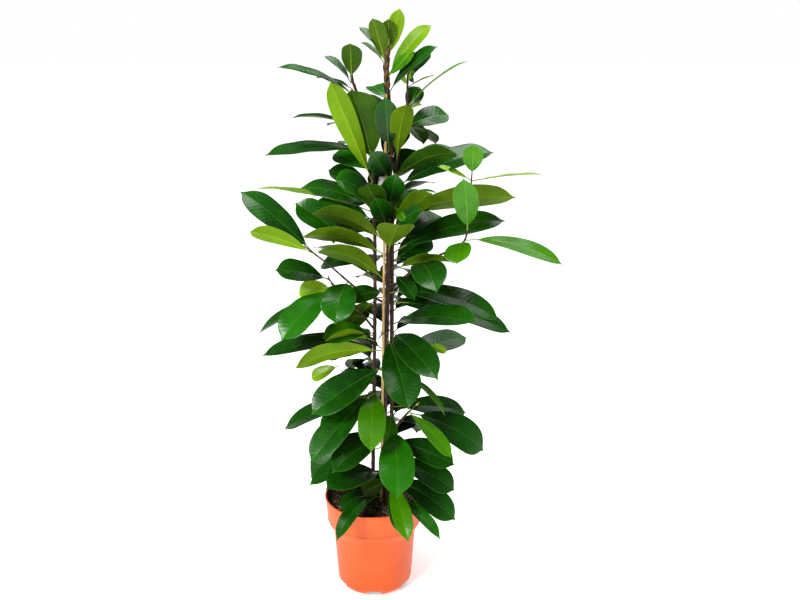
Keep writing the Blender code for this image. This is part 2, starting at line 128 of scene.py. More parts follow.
# Leaves of the frame: stem, height of the node on it, tip (x, y, height), full width, the way the
# upper face looks, how far the midrib arches towards that face, tone, and tint from dark to fresh.
LEAVES = (
    ("main", 915, (55, 10, 1003), 26, (0.1, 1.0, 0.2), 4, "lime", 0.7),
    ("main", 903, (5, -15, 986), 30, (0.3, 0.9, 0.3), 3, "young", 0.35),
    ("main", 880, (112, -10, 975), 30, (-0.3, -0.7, 0.7), 6, "lime", 0.1),
    ("main", 850, (122, -25, 938), 34, (-0.5, -0.45, 0.7), 10, "mature", 0.4),
    ("left", 838, (-175, 10, 900), 30, (-0.3, -0.15, 1.0), 14, "mature", 0.4),
    ("left", 680, (-70, -92, 880), 37, (-0.3, 0.85, 0.35), 10, "lime", 0.6),
    ("left", 712, (-34, -44, 862), 66, (0.15, 0.95, 0.3), 5, "mature", 0.45),
    ("right", 722, (66, -78, 838), 36, (0.0, 0.9, 0.3), 10, "young", 0.7),
    ("right", 826, (180, -10, 911), 26, (-0.45, 0.0, 0.9), 8, "young", 0.8),
    ("right", 785, (150, 40, 807), 44, (0.0, -0.7, 0.7), 10, "mature", 0.5),
    ("left", 740, (-200, -30, 740), 44, (0.0, -0.3, 0.95), 12, "mature", 0.35),
    ("left", 640, (-62, -60, 698), 44, (-0.2, -0.75, 0.6), 16, "mature", 0.35),
    ("left", 630, (-145, 60, 663), 44, (0.0, -0.6, 0.8), 18, "mature", 0.6),
    ("left_branch", 546, (-256, 12, 664), 46, (0.3, -0.85, 0.45), 10, "mature", 0.5),
    ("left_branch", 545, (-226, -95, 608), 32, (0.2, 0.9, 0.3), 10, "lime", 0.7),
    ("main", 560, (-111, -70, 638), 46, (0.25, 0.85, 0.45), 20, "young", 0.45),
    ("main", 535, (-127, -95, 598), 46, (0.25, 0.85, 0.45), 20, "young", 0.6),
    ("main", 480, (-100, -90, 570), 50, (0.3, 0.85, 0.4), 22, "young", 0.5),
    ("left_twig", 484, (-190, -20, 513), 46, (0.0, -0.55, 0.85), 8, "mature", 0.35),
    ("left_branch", 487, (-68, -110, 431), 58, (-0.1, -0.8, 0.5), 18, "mature", 0.7),
    # this leaf's tint of 1.0 also paints in the glossy sheen it shows: painted sheen
    ("left_twig", 466, (-176, -80, 388), 58, (-0.3, -0.7, 0.65), 14, "mature", 1.0),
    ("left", 366, (-222, -40, 342), 44, (0.0, -0.4, 0.9), 8, "mature", 0.3),
    ("main", 335, (-151, -90, 334), 42, (0.0, 0.95, 0.35), 24, "lime", 0.55),
    ("main", 302, (-121, -90, 237), 62, (-0.25, -0.7, 0.65), 15, "mature", 0.5),
    ("main", 366, (72, -150, 274), 62, (0.0, -0.8, 0.6), 14, "mature", 0.45),
    ("right", 388, (198, -140, 445), 58, (0.0, -0.55, 0.85), 18, "mature", 0.4),
    ("right", 368, (126, -165, 340), 54, (-0.15, -0.7, 0.7), 22, "mature", 0.35),
    ("right", 300, (200, 110, 330), 52, (0.0, -0.5, 0.85), 16, "mature", 0.3),
    ("main", 459, (251, -60, 423), 50, (0.0, -0.45, 0.9), 28, "mature", 0.3),
    ("right", 436, (287, 40, 364), 46, (0.0, -0.45, 0.9), 16, "mature", 0.4),
    ("right_branch", 512, (122, -150, 507), 56, (0.0, -0.6, 0.8), 24, "mature", 0.4),
    ("right_branch", 572, (368, -60, 535), 36, (0.1, -0.55, 0.8), 18, "young", 0.7),
    ("right_branch", 592, (173, -60, 699), 42, (0.0, -1.0, 0.15), 8, "young", 0.6),
    ("right_branch", 688, (331, -20, 701), 30, (0.0, 0.15, 1.0), 4, "lime", 0.7),
    ("right", 668, (237, 20, 740), 60, (0.0, -0.55, 0.85), 18, "mature", 0.4),
    ("main", 683, (160, -90, 752), 46, (0.0, 0.6, 0.8), 20, "mature", 0.15),
    ("main", 545, (55, -150, 632), 58, (0.0, 0.5, 0.85), 8, "young", 0.6),
    ("right", 612, (283, 20, 650), 52, (0.0, 0.85, 0.5), 20, "young", 0.7),
    ("right", 538, (265, 30, 602), 58, (0.0, -0.5, 0.85), 22, "mature", 0.35),
    ("left", 242, (-124, -110, 141), 52, (-0.3, -0.75, 0.5), 20, "mature", 0.6),
    ("left", 241, (-1, -150, 184), 48, (0.0, -0.75, 0.6), 22, "young", 0.8),
    ("main", 58, (-91, -130, 94), 60, (-0.1, -0.5, 0.85), 16, "mature", 0.3),
    ("low", 174, (50, -172, 98), 62, (0.0, -0.8, 0.6), 22, "mature", 1.1),
    ("low", 60, (170, -70, -10), 50, (0.1, -0.6, 0.8), 20, "mature", 0.25),
    ("low", 212, (229, -30, 128), 62, (0.15, -0.6, 0.8), 22, "mature", 0.3),
    ("main", 790, (-40, 150, 830), 46, (0.0, -0.3, 0.95), 14, "mature", 0.4),
    ("right", 590, (70, 190, 640), 54, (0.0, -0.3, 0.95), 20, "mature", 0.4),
    ("left", 480, (-130, 150, 520), 54, (0.2, -0.2, 0.95), 18, "mature", 0.4),
    ("right", 430, (150, 170, 420), 56, (0.0, 0.3, 0.95), 22, "mature", 0.4),
    ("left", 300, (-75, 185, 290), 58, (0.0, 0.3, 0.95), 22, "mature", 0.4),
    ("main", 200, (60, 190, 150), 58, (0.0, 0.4, 0.9), 22, "mature", 0.4),
)

# Smaller and half-hidden leaves: tip, foot of the stalk, full width, the way the upper face looks,
# arch, tone, tint.
SMALL_LEAVES = (
    ((33, 5, 984), (35, 4, 925), 26, (0.2, 0.9, 0.2), 3, "young", 0.3),
    ((-21, 20, 970), (25, 5, 920), 24, (0.2, -0.3, 1.0), 4, "mature", 0.5),
    ((-18, 10, 943), (25, 4, 905), 24, (0.2, -0.2, 1.0), 5, "young", 0.6),
    ((113, 15, 923), (68, 6, 871), 26, (-0.4, -0.5, 0.7), 5, "mature", 0.3),
    ((-37, -5, 941), (-36, 4, 876), 36, (0.25, 0.9, 0.1), 4, "young", 0.0),
    ((-87, 15, 918), (-37, 8, 868), 26, (0.2, -0.2, 1.0), 6, "mature", 0.4),
    ((-106, 40, 878), (-34, 10, 857), 26, (0.0, -0.1, 1.0), 4, "mature", 0.3),
    ((1, 60, 862), (30, 6, 837), 34, (0.0, -0.5, 0.8), 5, "mature", 0.8),
    ((-14, 30, 806), (2, 14, 752), 26, (0.1, 0.9, 0.3), 4, "young", 0.2),
    ((91, 25, 862), (68, 10, 815), 30, (0.0, -0.9, 0.3), 4, "mature", 0.2),
    ((-150, -10, 807), (-8, 10, 775), 36, (-0.1, -0.12, 1.0), 12, "mature", 0.4),
    ((-78, 60, 729), (6, 16, 700), 40, (0.0, -0.6, 0.8), 8, "mature", 0.9),
    ((-86, 30, 702), (4, 16, 665), 40, (0.0, -0.5, 0.8), 8, "mature", 0.3),
    ((-228, 20, 670), (0, 16, 621), 34, (0.0, -0.08, 1.0), 10, "lime", 0.3),
    ((-118, 20, 638), (4, 14, 602), 42, (0.0, -0.5, 0.85), 14, "mature", 0.6),
    ((-150, 12, 640), (-60, 10, 570), 46, (0.3, -0.8, 0.4), 8, "mature", 0.6),
    ((-151, 20, 452), (-80, 15, 468), 38, (-0.1, -0.7, 0.6), 4, "lime", 0.7),
    ((-49, -40, 457), (24, -2, 463), 40, (-0.1, -0.6, 0.7), 8, "mature", 0.4),
    ((-245, 60, 354), (-60, 18, 449), 46, (0.0, -0.3, 0.95), 12, "mature", 0.3),
    ((-61, 70, 354), (6, 18, 439), 44, (0.0, 0.7, 0.5), 8, "young", 0.2),
    ((-102, -20, 372), (0, 12, 371), 44, (0.0, -0.5, 0.8), 12, "young", 0.3),
    ((-92, -60, 381), (2, 8, 356), 44, (0.0, 0.7, 0.6), 12, "young", 0.8),
    ((-130, 10, 272), (-70, 12, 300), 26, (0.0, -0.6, 0.7), 4, "lime", 0.5),
    ((148, -30, 344), (112, -20, 360), 16, (0.0, -0.5, 0.8), 2, "lime", 0.5),
    ((84, -40, 458), (43, 12, 495), 30, (0.0, -0.6, 0.7), 6, "mature", 0.3),
    ((162, -60, 539), (43, 12, 505), 44, (0.0, 0.6, 0.75), 10, "young", 0.3),
    ((163, -70, 538), (179, -17, 570), 48, (-0.4, -0.7, 0.5), 8, "young", 0.7),
    ((192, -30, 758), (192, -20, 700), 34, (0.15, -1.0, 0.1), 3, "young", 0.9),
    ((127, -20, 717), (190, -20, 690), 14, (0.0, -0.5, 0.8), 2, "lime", 0.6),
    ((165, 80, 740), (47, 14, 694), 44, (0.0, -0.5, 0.85), 10, "mature", 0.4),
    ((60, 60, 785), (24, 4, 720), 46, (0.0, -0.6, 0.7), 8, "mature", 0.2),
    ((85, 50, 740), (40, 14, 680), 44, (0.1, -0.6, 0.7), 8, "mature", 0.3),
    ((20, 60, 735), (8, 16, 655), 44, (0.0, -0.7, 0.6), 8, "mature", 0.2),
    ((114, -80, 679), (40, 12, 578), 42, (0.0, 0.8, 0.4), 10, "young", 0.5),
    ((127, -10, 665), (42, 12, 640), 22, (0.0, -0.1, 1.0), 10, "young", 0.6),
    ((68, -30, 612), (46, -2, 633), 20, (0.0, -0.7, 0.6), 3, "young", 0.8),
    ((-7, -90, 694), (24, 0, 598), 42, (0.1, 0.8, 0.4), 8, "mature", 0.3),
    ((82, -20, 927), (33, 0, 880), 22, (-0.3, -0.7, 0.5), 4, "young", 0.5),
    ((80, 10, 868), (70, 6, 905), 14, (-0.7, -0.6, 0.3), 3, "mature", 0.3),
    ((122, -5, 884), (70, 6, 861), 13, (0.0, -0.2, 1.0), 3, "lime", 0.4),
    ((97, -5, 830), (68, 8, 817), 11, (0.0, -0.4, 0.9), 2, "lime", 0.3),
    ((58, 0, 884), (68, 6, 866), 8, (-0.3, -0.7, 0.5), 2, "lime", 0.6),
    ((80, 2, 892), (70, 6, 872), 8, (0.3, -0.7, 0.5), 2, "lime", 0.5),
    ((-195, 40, 146), (0, 15, 225), 48, (0.0, -0.3, 0.95), 14, "mature", 0.4),
    ((-109, -60, 187), (0, 14, 214), 46, (0.0, -0.5, 0.85), 12, "mature", 0.5),
    ((-75, -40, 190), (10, 6, 245), 40, (0.0, 0.7, 0.6), 10, "young", 0.2),
    ((30, -60, 160), (37, -14, 205), 30, (0.0, -0.8, 0.4), 5, "young", 0.5),
    ((-80, -120, 126), (20, 2, 145), 50, (-0.1, -0.6, 0.8), 14, "mature", 0.3),
    ((-133, -30, 66), (0, 15, 161), 52, (-0.2, -0.5, 0.85), 14, "mature", 0.3),
    ((-133, -60, 65), (18, 4, 120), 40, (0.0, -0.2, 1.0), 12, "mature", 0.5),
    ((-22, -60, 44), (30, -14, 50), 40, (-0.1, 0.9, -0.2), 5, "young", 0.0),
    ((-72, -60, 10), (2, 0, 14), 30, (0.0, -0.5, 0.85), 12, "mature", 0.2),
    ((-71, -170, 2), (14, -12, 10), 29, (-0.2, -0.5, 0.85), 30, "mature", 0.6),
    ((49, -127, -3), (38, -26, 36), 23, (0.0, -0.6, 0.8), 25, "mature", 0.3),
    ((71, -172, 1), (34, -26, 48), 34, (0.1, -0.7, 0.7), 24, "young", 0.9),
    ((137, -140, -12), (38, -26, 8), 24, (0.2, -0.5, 0.85), 28, "mature", 0.9),
    ((170, -40, 42), (34, -16, 104), 52, (0.1, -0.5, 0.85), 18, "mature", 0.3),
    ((159, -90, 142), (70, -24, 214), 30, (0.0, -0.5, 0.85), 8, "young", 0.9),
    ((27, -34, 846), (34, 0, 742), 38, (0.1, -0.9, 0.3), 6, "mature", 0.3),
    ((-66, -60, 698), (2, 12, 655), 46, (0.1, -0.8, 0.5), 8, "mature", 1.0),
    ((2, -54, 748), (34, 2, 690), 36, (-0.2, -0.8, 0.5), 6, "mature", 0.2),
    ((46, -62, 708), (34, 2, 640), 38, (0.1, -0.8, 0.5), 6, "mature", 0.3),
    ((8, -66, 664), (28, 2, 596), 34, (-0.1, -0.8, 0.5), 6, "mature", 0.2),
    ((66, -30, 655), (41, 14, 600), 36, (0.2, 0.8, 0.4), 6, "young", 0.1),
    ((96, -50, 640), (42, 12, 585), 40, (0.1, -0.7, 0.6), 8, "mature", 0.5),
    ((120, 60, 560), (40, 18, 520), 50, (0.0, -0.6, 0.8), 8, "mature", 0.4),
    ((140, 90, 600), (40, 18, 560), 50, (0.0, -0.6, 0.8), 10, "mature", 0.3),
    ((199, 60, 176), (39, 20, 205), 50, (0.0, -0.5, 0.85), 14, "mature", 0.4),
    ((148, -60, 222), (39, 18, 273), 17, (0.3, -0.35, 0.9), 26, "young", 0.6),
    ((167, -60, 111), (36, -18, 146), 50, (0.0, -0.5, 0.85), 14, "mature", 0.3),
    ((-60, 60, 610), (4, 15, 640), 40, (0.0, -0.5, 0.85), 10, "mature", 0.2),
    ((110, 60, 620), (40, 16, 610), 42, (0.0, -0.5, 0.85), 12, "mature", 0.2),
    ((-120, 70, 560), (4, 16, 580), 44, (0.0, -0.5, 0.85), 12, "mature", 0.2),
    ((130, 80, 500), (40, 18, 520), 46, (0.0, -0.5, 0.85), 12, "mature", 0.3),
    ((-110, 60, 500), (4, 16, 520), 42, (0.0, -0.6, 0.8), 12, "mature", 0.2),
    ((120, 60, 455), (40, 18, 470), 44, (0.0, -0.5, 0.85), 14, "mature", 0.2),
    ((150, 50, 410), (39, 19, 430), 46, (0.0, -0.5, 0.85), 14, "mature", 0.3),
    ((-105, 70, 420), (2, 15, 430), 44, (0.0, -0.5, 0.85), 12, "mature", 0.3),
    ((-95, 60, 300), (2, 15, 330), 44, (0.0, -0.5, 0.85), 12, "mature", 0.2),
    ((110, 70, 290), (38, 20, 320), 46, (0.0, -0.5, 0.85), 14, "mature", 0.3),
    ((-90, 80, 240), (0, 15, 270), 44, (0.0, -0.5, 0.85), 12, "mature", 0.2),
    ((95, 60, 200), (38, 20, 240), 44, (0.0, -0.5, 0.85), 14, "mature", 0.2),
)


# ---- colours and nodes ----
def linear(code):
    """An sRGB hex colour as a linear RGBA value."""
    values = [int(code[i:i + 2], 16) / 255 for i in (1, 3, 5)]
    return (*(v / 12.92 if v <= 0.04045 else ((v + 0.055) / 1.055) ** 2.4 for v in values), 1.0)


def add(tree, kind, *values, **settings):
    """Adds a node. Settings in lower case are its properties; values feed its inputs in order and
    the other settings feed them by name. A node or socket is linked, anything else is set."""
    node = tree.nodes.new(kind)
    feeds = list(enumerate(values))
    for key, value in settings.items():
        if key[0].islower():
            setattr(node, key, value)
        else:
            feeds.append((key, value))
    for key, value in feeds:
        socket = node.inputs[key] if isinstance(key, int) else next(
            s for s in node.inputs if s.enabled and s.name == key)
        if isinstance(value, bpy.types.Node):
            value = next(s for s in value.outputs if s.enabled)
        if isinstance(value, bpy.types.NodeSocket):
            tree.links.new(value, socket)
        else:
            socket.default_value = linear(value) if isinstance(value, str) else value
    return node


def new_material(name, roughness, ior=1.5, **sockets):
    """A material with its node tree and its shader, whose constants are set on the shader."""
    mat = bpy.data.materials.new(name)
    mat.use_nodes = True
    shader = mat.node_tree.nodes["Principled BSDF"]
    shader.inputs["Roughness"].default_value = roughness
    shader.inputs["IOR"].default_value = ior
    for key, value in sockets.items():
        shader.inputs[key.replace("_", " ")].default_value = value
    return mat, mat.node_tree, shader


def grain(tree, size_mm, detail=3.0, stretch=(1, 1, 1), roughness=0.55):
    """A cloudy pattern laid through the object, with lumps of a real size in millimetres."""
    place = add(tree, "ShaderNodeTexCoord").outputs["Object"]
    turned = add(tree, "ShaderNodeMapping", place, Scale=stretch)
    return add(tree, "ShaderNodeTexNoise", turned, Scale=1 / (size_mm * MM), Detail=detail,
               Roughness=roughness)


def mottled(tree, pattern, low, high, first, second, most=1.0):
    """The first colour going over to the second where the pattern rises from low to high."""
    amount = add(tree, "ShaderNodeMapRange", pattern, low, high, 0.0, most)
    return add(tree, "ShaderNodeMix", amount, data_type="RGBA", A=first, B=second)


def finish(tree, shader, colour, height, strength, depth_mm):
    """Gives the surface its colour and its fine relief."""
    tree.links.new(next(s for s in colour.outputs if s.enabled), shader.inputs["Base Color"])
    relief = add(tree, "ShaderNodeBump", Strength=strength, Distance=depth_mm * MM, Height=height)
    tree.links.new(relief.outputs[0], shader.inputs["Normal"])


# ---- materials ----
def moulded_polypropylene():
    """Injection-moulded polypropylene, coloured right through: a satin skin with a faint
    orange-peel, pale scuffs at the foot, a thin line of painted shade in the crease under the
    collar and painted shade over the inner wall."""
    mat, tree, shader = new_material("terracotta_polypropylene", 0.42, 1.49,
                                     Subsurface_Weight=0.05, Subsurface_Scale=0.002)
    shader.inputs["Subsurface Radius"].default_value = (1.0, 0.35, 0.12)
    place = add(tree, "ShaderNodeTexCoord")
    height = add(tree, "ShaderNodeSeparateXYZ", place.outputs["Object"]).outputs["Z"]
    colour = mottled(tree, grain(tree, 45, 2.0), 0.35, 0.68, "#EA5C16", "#EE621A")
    low = add(tree, "ShaderNodeMapRange", height, 0.034, 0.004)
    scuffs = add(tree, "ShaderNodeMath", grain(tree, 7, 4.0), low, operation="MULTIPLY")
    colour = mottled(tree, scuffs, 0.40, 0.62, colour, "#F7B48C", 0.5)
    # painted shade: a thin dark line along the crease below the collar's lower edge
    crease_shade_z = (POT_HEIGHT - COLLAR_TALL - 0.6) * MM
    off = add(tree, "ShaderNodeMath", height, crease_shade_z, operation="SUBTRACT")
    off = add(tree, "ShaderNodeMath", off, operation="ABSOLUTE")
    colour = mottled(tree, off, 0.0011, 0.0004, colour, "#7E3512", 0.8)
    # painted shade: faces turned towards the middle, the inner wall, go nearly black as the
    # shadowed inside of the pot
    inner_wall_shade = add(tree, "ShaderNodeVectorMath", place.outputs["Object"], place.outputs["Normal"],
                  operation="DOT_PRODUCT").outputs["Value"]
    colour = mottled(tree, inner_wall_shade, -0.03, -0.06, colour, "#2C170C", 0.93)
    finish(tree, shader, colour, grain(tree, 1.6, 2.0), 0.12, 0.12)
    return mat


def damp_peat():
    """Damp peat: almost black, dull, with crumbs of brown."""
    mat, tree, shader = new_material("damp_peat", 0.93, 1.4)
    fine = grain(tree, 2.2, 5.0, roughness=0.7)
    colour = mottled(tree, fine, 0.42, 0.66, "#1C130D", "#4A3422")
    finish(tree, shader, colour, fine, 0.8, 1.4)
    return mat


def bark_fibre():
    """Dry shredded bark and coir in the mix: tan, dull, streaked along each shred."""
    mat, tree, shader = new_material("bark_fibre", 0.85, 1.45)
    colour = mottled(tree, grain(tree, 5, 3.0), 0.35, 0.65, "#7C5632", "#D4A86E")
    finish(tree, shader, colour, grain(tree, 0.8, 2.0), 0.5, 0.2)
    return mat


def perlite():
    """Expanded volcanic glass: white, chalky grains."""
    mat, tree, shader = new_material("perlite", 0.8, 1.45)
    colour = mottled(tree, grain(tree, 1.5, 3.0), 0.4, 0.7, "#F6F2E8", "#D2CBBB")
    finish(tree, shader, colour, grain(tree, 0.6, 3.0), 0.6, 0.3)
    return mat


def dry_cane():
    """Dry bamboo: straw skin with a waxy shine, long fine fibres and browner patches."""
    mat, tree, shader = new_material("dry_bamboo_cane", 0.42, 1.5)
    streak = grain(tree, 2.0, 4.0, (1, 1, 0.03))
    colour = mottled(tree, streak, 0.35, 0.68, "#A87C40", "#DDBE80")
    colour = mottled(tree, grain(tree, 40, 2.0), 0.5, 0.72, colour, "#94602C", 0.55)
    joint = add(tree, "ShaderNodeAttribute", attribute_name="joint").outputs["Fac"]
    colour = mottled(tree, joint, 0.0, 1.0, colour, "#6E4A26", 0.8)
    finish(tree, shader, colour, streak, 0.25, 0.15)
    return mat


def young_bark():
    """Bark of a young fig: brown and lightly ridged below, smoother towards the tips, with pale
    lenticels and a dark ring where each leaf sits."""
    mat, tree, shader = new_material("young_fig_bark", 0.68, 1.45)
    streak = grain(tree, 3.0, 5.0, (1, 1, 0.16), 0.65)
    old = mottled(tree, streak, 0.36, 0.66, "#21140A", "#57391E")
    new = mottled(tree, streak, 0.36, 0.66, "#1E150A", "#46341A")
    age = add(tree, "ShaderNodeAttribute", attribute_name="age").outputs["Fac"]
    colour = mottled(tree, age, 0.55, 1.0, old, new)
    cells = add(tree, "ShaderNodeTexVoronoi", add(tree, "ShaderNodeTexCoord").outputs["Object"],
                Scale=1 / (5.5 * MM))
    colour = mottled(tree, cells.outputs["Distance"], 0.20, 0.10, colour, "#94744C", 0.4)
    scar = add(tree, "ShaderNodeAttribute", attribute_name="scar").outputs["Fac"]
    colour = mottled(tree, scar, 0.0, 1.0, colour, "#1C1209", 0.7)
    finish(tree, shader, colour, streak, 0.55, 0.5)
    return mat


def papery_stipule():
    """Dry stipules round the growing tips: thin tan paper with darker veins."""
    mat, tree, shader = new_material("papery_stipule", 0.7, 1.4)
    colour = mottled(tree, grain(tree, 2.0, 3.0, (1, 1, 0.2)), 0.35, 0.65, "#38220F", "#80592E")
    finish(tree, shader, colour, grain(tree, 1.2, 2.0), 0.4, 0.2)
    return mat


def coated_wire():
    """Plastic-coated tie wire: brown, slightly shiny, smooth."""
    mat, tree, shader = new_material("brown_coated_wire", 0.45, 1.5)
    colour = mottled(tree, grain(tree, 4, 2.0), 0.3, 0.7, "#6E431C", "#96622E")
    finish(tree, shader, colour, grain(tree, 0.8, 2.0), 0.2, 0.1)
    return mat


def bud_green():
    """The sheath of a bud: smooth, waxy, yellow-green."""
    mat, tree, shader = new_material("bud_sheath", 0.4, 1.42)
    colour = mottled(tree, grain(tree, 5, 2.0), 0.35, 0.65, "#9CB43A", "#C9B060")
    finish(tree, shader, colour, grain(tree, 1.0, 2.0, (1, 1, 0.2)), 0.2, 0.15)
    return mat


def leaf_stalk():
    """Leaf stalks: firm green going brown at the foot, faintly ridged."""
    mat, tree, shader = new_material("green_leaf_stalk", 0.5, 1.42)
    tint = add(tree, "ShaderNodeAttribute", attribute_name="tint").outputs["Fac"]
    fresh = mottled(tree, tint, 0.0, 1.0, "#4E6A20", "#9AB840")
    colour = mottled(tree, grain(tree, 6, 3.0), 0.4, 0.7, fresh, "#6A5426")
    finish(tree, shader, colour, grain(tree, 1.0, 2.0, (1, 1, 0.3)), 0.25, 0.15)
    return mat


def vein_pattern(tree):
    """Masks over a blade, from its own map in units of 100 mm: the midrib, the side veins that
    leave it forwards every few millimetres, and the swell of the blade between them."""
    place = add(tree, "ShaderNodeSeparateXYZ", add(tree, "ShaderNodeUVMap", uv_map="blade"))
    edge = add(tree, "ShaderNodeAttribute", attribute_name="edge").outputs["Fac"]
    part = add(tree, "ShaderNodeAttribute", attribute_name="part").outputs["Fac"]
    across = add(tree, "ShaderNodeMath", place.outputs["X"], 0.5, operation="SUBTRACT")
    across = add(tree, "ShaderNodeMath", across, operation="ABSOLUTE")
    # 1.2 mm each side of the midrib at the foot, thinning to the tip
    rib_end = add(tree, "ShaderNodeMapRange", part, 0.2, 1.0, 0.012, 0.004)
    ratio = add(tree, "ShaderNodeMath", across, rib_end, operation="DIVIDE")
    midrib = add(tree, "ShaderNodeMapRange", ratio, 1.0, 0.3)
    along = add(tree, "ShaderNodeMath", place.outputs["Y"], 100 / VEIN_GAP, operation="MULTIPLY")
    lean = add(tree, "ShaderNodeMath", across, -VEIN_LEAN / VEIN_GAP, along,
               operation="MULTIPLY_ADD")
    phase = add(tree, "ShaderNodeMath", grain(tree, 14, 1.0), 0.35, lean, operation="MULTIPLY_ADD")
    wave = add(tree, "ShaderNodeMath", phase, 0.5, operation="PINGPONG")
    fine = add(tree, "ShaderNodeMapRange", wave, 0.075, 0.0)
    inner = add(tree, "ShaderNodeMapRange", edge, 0.97, 0.72)
    veins = add(tree, "ShaderNodeMath", fine, inner, operation="MULTIPLY")
    swell = add(tree, "ShaderNodeMapRange", wave, 0.0, 0.5)
    return midrib, veins, swell, edge, part


def leaf_upper(name, dark, main, fresh, rib, roughness, gloss):
    """Upper side of a leathery leaf: a waxy shine over deep green, a sunken paler midrib, faint
    side veins, a thin translucent margin, and a yellower tip that goes darker towards the stalk,
    partly as painted shade."""
    mat, tree, shader = new_material(name + "_upper", roughness, 1.45, Coat_Weight=gloss,
                                     Coat_Roughness=0.2, Specular_IOR_Level=0.27)
    midrib, veins, swell, edge, part = vein_pattern(tree)
    tint = add(tree, "ShaderNodeAttribute", attribute_name="tint").outputs["Fac"]
    cloud = add(tree, "ShaderNodeMath", grain(tree, 26, 3.0), 0.5, operation="SUBTRACT")
    mixed = add(tree, "ShaderNodeMath", cloud, 0.9, tint, operation="MULTIPLY_ADD")
    colour = mottled(tree, mixed, 0.1, 0.55, dark, main)
    colour = mottled(tree, mixed, 0.5, 1.1, colour, fresh)
    # darker at the stalk, fresher at the tip: the yellower tip is the leaf's own colour, the
    # darkening towards the stalk is painted shade
    colour = mottled(tree, part, 0.3, 1.0, colour, fresh, 0.42)
    colour = mottled(tree, veins, 0.0, 1.0, colour, rib, 0.10)
    colour = mottled(tree, midrib, 0.0, 1.0, colour, rib, 0.42)
    colour = mottled(tree, edge, 0.955, 0.995, colour, rib, 0.4)
    worn = add(tree, "ShaderNodeMapRange", grain(tree, 22, 2.0), 0.3, 0.72, roughness - 0.03,
               roughness + 0.06)
    tree.links.new(worn.outputs[0], shader.inputs["Roughness"])
    relief = add(tree, "ShaderNodeMath", swell, 0.8, operation="MULTIPLY")
    relief = add(tree, "ShaderNodeMath", grain(tree, 5.0, 2.0), 0.25, relief,
                 operation="MULTIPLY_ADD")
    relief = add(tree, "ShaderNodeMath", relief, midrib, operation="SUBTRACT")
    finish(tree, shader, colour, relief, 0.35, 0.5)
    return mat


def leaf_under(name, main, fresh, rib):
    """Under side: matt and paler, partly for real and partly as painted light shining through the
    blade, with the midrib and the side veins standing out.
    """
    mat, tree, shader = new_material(name + "_under", 0.5, 1.4, Specular_IOR_Level=0.2)
    midrib, veins, _, edge, _ = vein_pattern(tree)
    tint = add(tree, "ShaderNodeAttribute", attribute_name="tint").outputs["Fac"]
    cloud = add(tree, "ShaderNodeMath", grain(tree, 30, 2.0), 0.5, operation="SUBTRACT")
    mixed = add(tree, "ShaderNodeMath", cloud, 0.8, tint, operation="MULTIPLY_ADD")
    colour = mottled(tree, mixed, 0.1, 1.0, main, fresh)
    colour = mottled(tree, veins, 0.0, 1.0, colour, rib, 0.14)
    colour = mottled(tree, midrib, 0.0, 1.0, colour, rib, 0.6)
    colour = mottled(tree, edge, 0.955, 0.995, colour, rib, 0.4)
    relief = add(tree, "ShaderNodeMath", midrib, 2.0, veins, operation="MULTIPLY_ADD")
    relief = add(tree, "ShaderNodeMath", grain(tree, 1.2, 3.0), 0.4, relief,
                 operation="MULTIPLY_ADD")
    finish(tree, shader, colour, relief, 0.35, 0.35)
    return mat


def seamless_paper():
    """The studio's white paper sweep, glowing by itself as painted light, more faintly near the
    pot.
    """
    mat, tree, shader = new_material("seamless_paper", 0.9, 1.4)
    # painted light: the paper glows at half strength within 12 cm of the middle, rising to full
    # strength at 1 m
    shader.inputs["Emission Color"].default_value = linear("#FFFFFF")
    place = add(tree, "ShaderNodeTexCoord").outputs["Object"]
    far = add(tree, "ShaderNodeVectorMath", place, operation="LENGTH").outputs["Value"]
    painted_floor_glow = add(tree, "ShaderNodeMapRange", far, 0.12, 1.0, 0.5, 1.0)
    tree.links.new(painted_floor_glow.outputs[0], shader.inputs["Emission Strength"])
    colour = mottled(tree, grain(tree, 900, 1.0), 0.3, 0.7, "#F6F6F6", "#F8F8F8")
    finish(tree, shader, colour, grain(tree, 2.0, 2.0), 0.05, 0.05)
    return mat


# ---- meshes ----
def new_piece(name, points, faces, materials, indices=None, smooth=True):
    """An object from points in millimetres."""
    mesh = bpy.data.meshes.new(name)
    mesh.from_pydata([Vector(p) * MM for p in points], [], faces)
    for mat in materials:
        mesh.materials.append(mat)
    if indices:
        mesh.polygons.foreach_set("material_index", indices)
    if smooth:
        mesh.shade_smooth()
    obj = bpy.data.objects.new(name, mesh)
    bpy.context.scene.collection.objects.link(obj)
    return obj


def turn_outwards(obj):
    """Closes the seams of an object's skin and turns its faces outwards."""
    work = bmesh.new()
    work.from_mesh(obj.data)
    bmesh.ops.remove_doubles(work, verts=work.verts, dist=0.000001)
    bmesh.ops.recalc_face_normals(work, faces=work.faces)
    work.to_mesh(obj.data)
    work.free()
    return obj


def give_values(obj, name, values):
    """Stores one number for each point of the mesh, for its material to read."""
    layer = obj.data.attributes.new(name, "FLOAT", "POINT")
    layer.data.foreach_set("value", values)


def joined(name, parts):
    """One object from several that share their materials' order."""
    work = bmesh.new()
    for part in parts:
        work.from_mesh(part.data)
    mesh = parts[0].data.copy()
    mesh.name = name
    work.to_mesh(mesh)
    work.free()
    for part in parts:
        bpy.data.objects.remove(part)
    obj = bpy.data.objects.new(name, mesh)
    bpy.context.scene.collection.objects.link(obj)
    return obj


def stands_for(piece, slot, *nodes):
    """Puts a finished piece on the root body in place of the CAD nodes it stands for."""
    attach(piece, "root")
    if nodes:
        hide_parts(*nodes)
    return piece


def settled(obj):
    """The object with its modifiers worked out into a plain mesh."""
    graph = bpy.context.evaluated_depsgraph_get()
    mesh = bpy.data.meshes.new_from_object(obj.evaluated_get(graph))
    obj.modifiers.clear()
    obj.data = mesh
    return obj


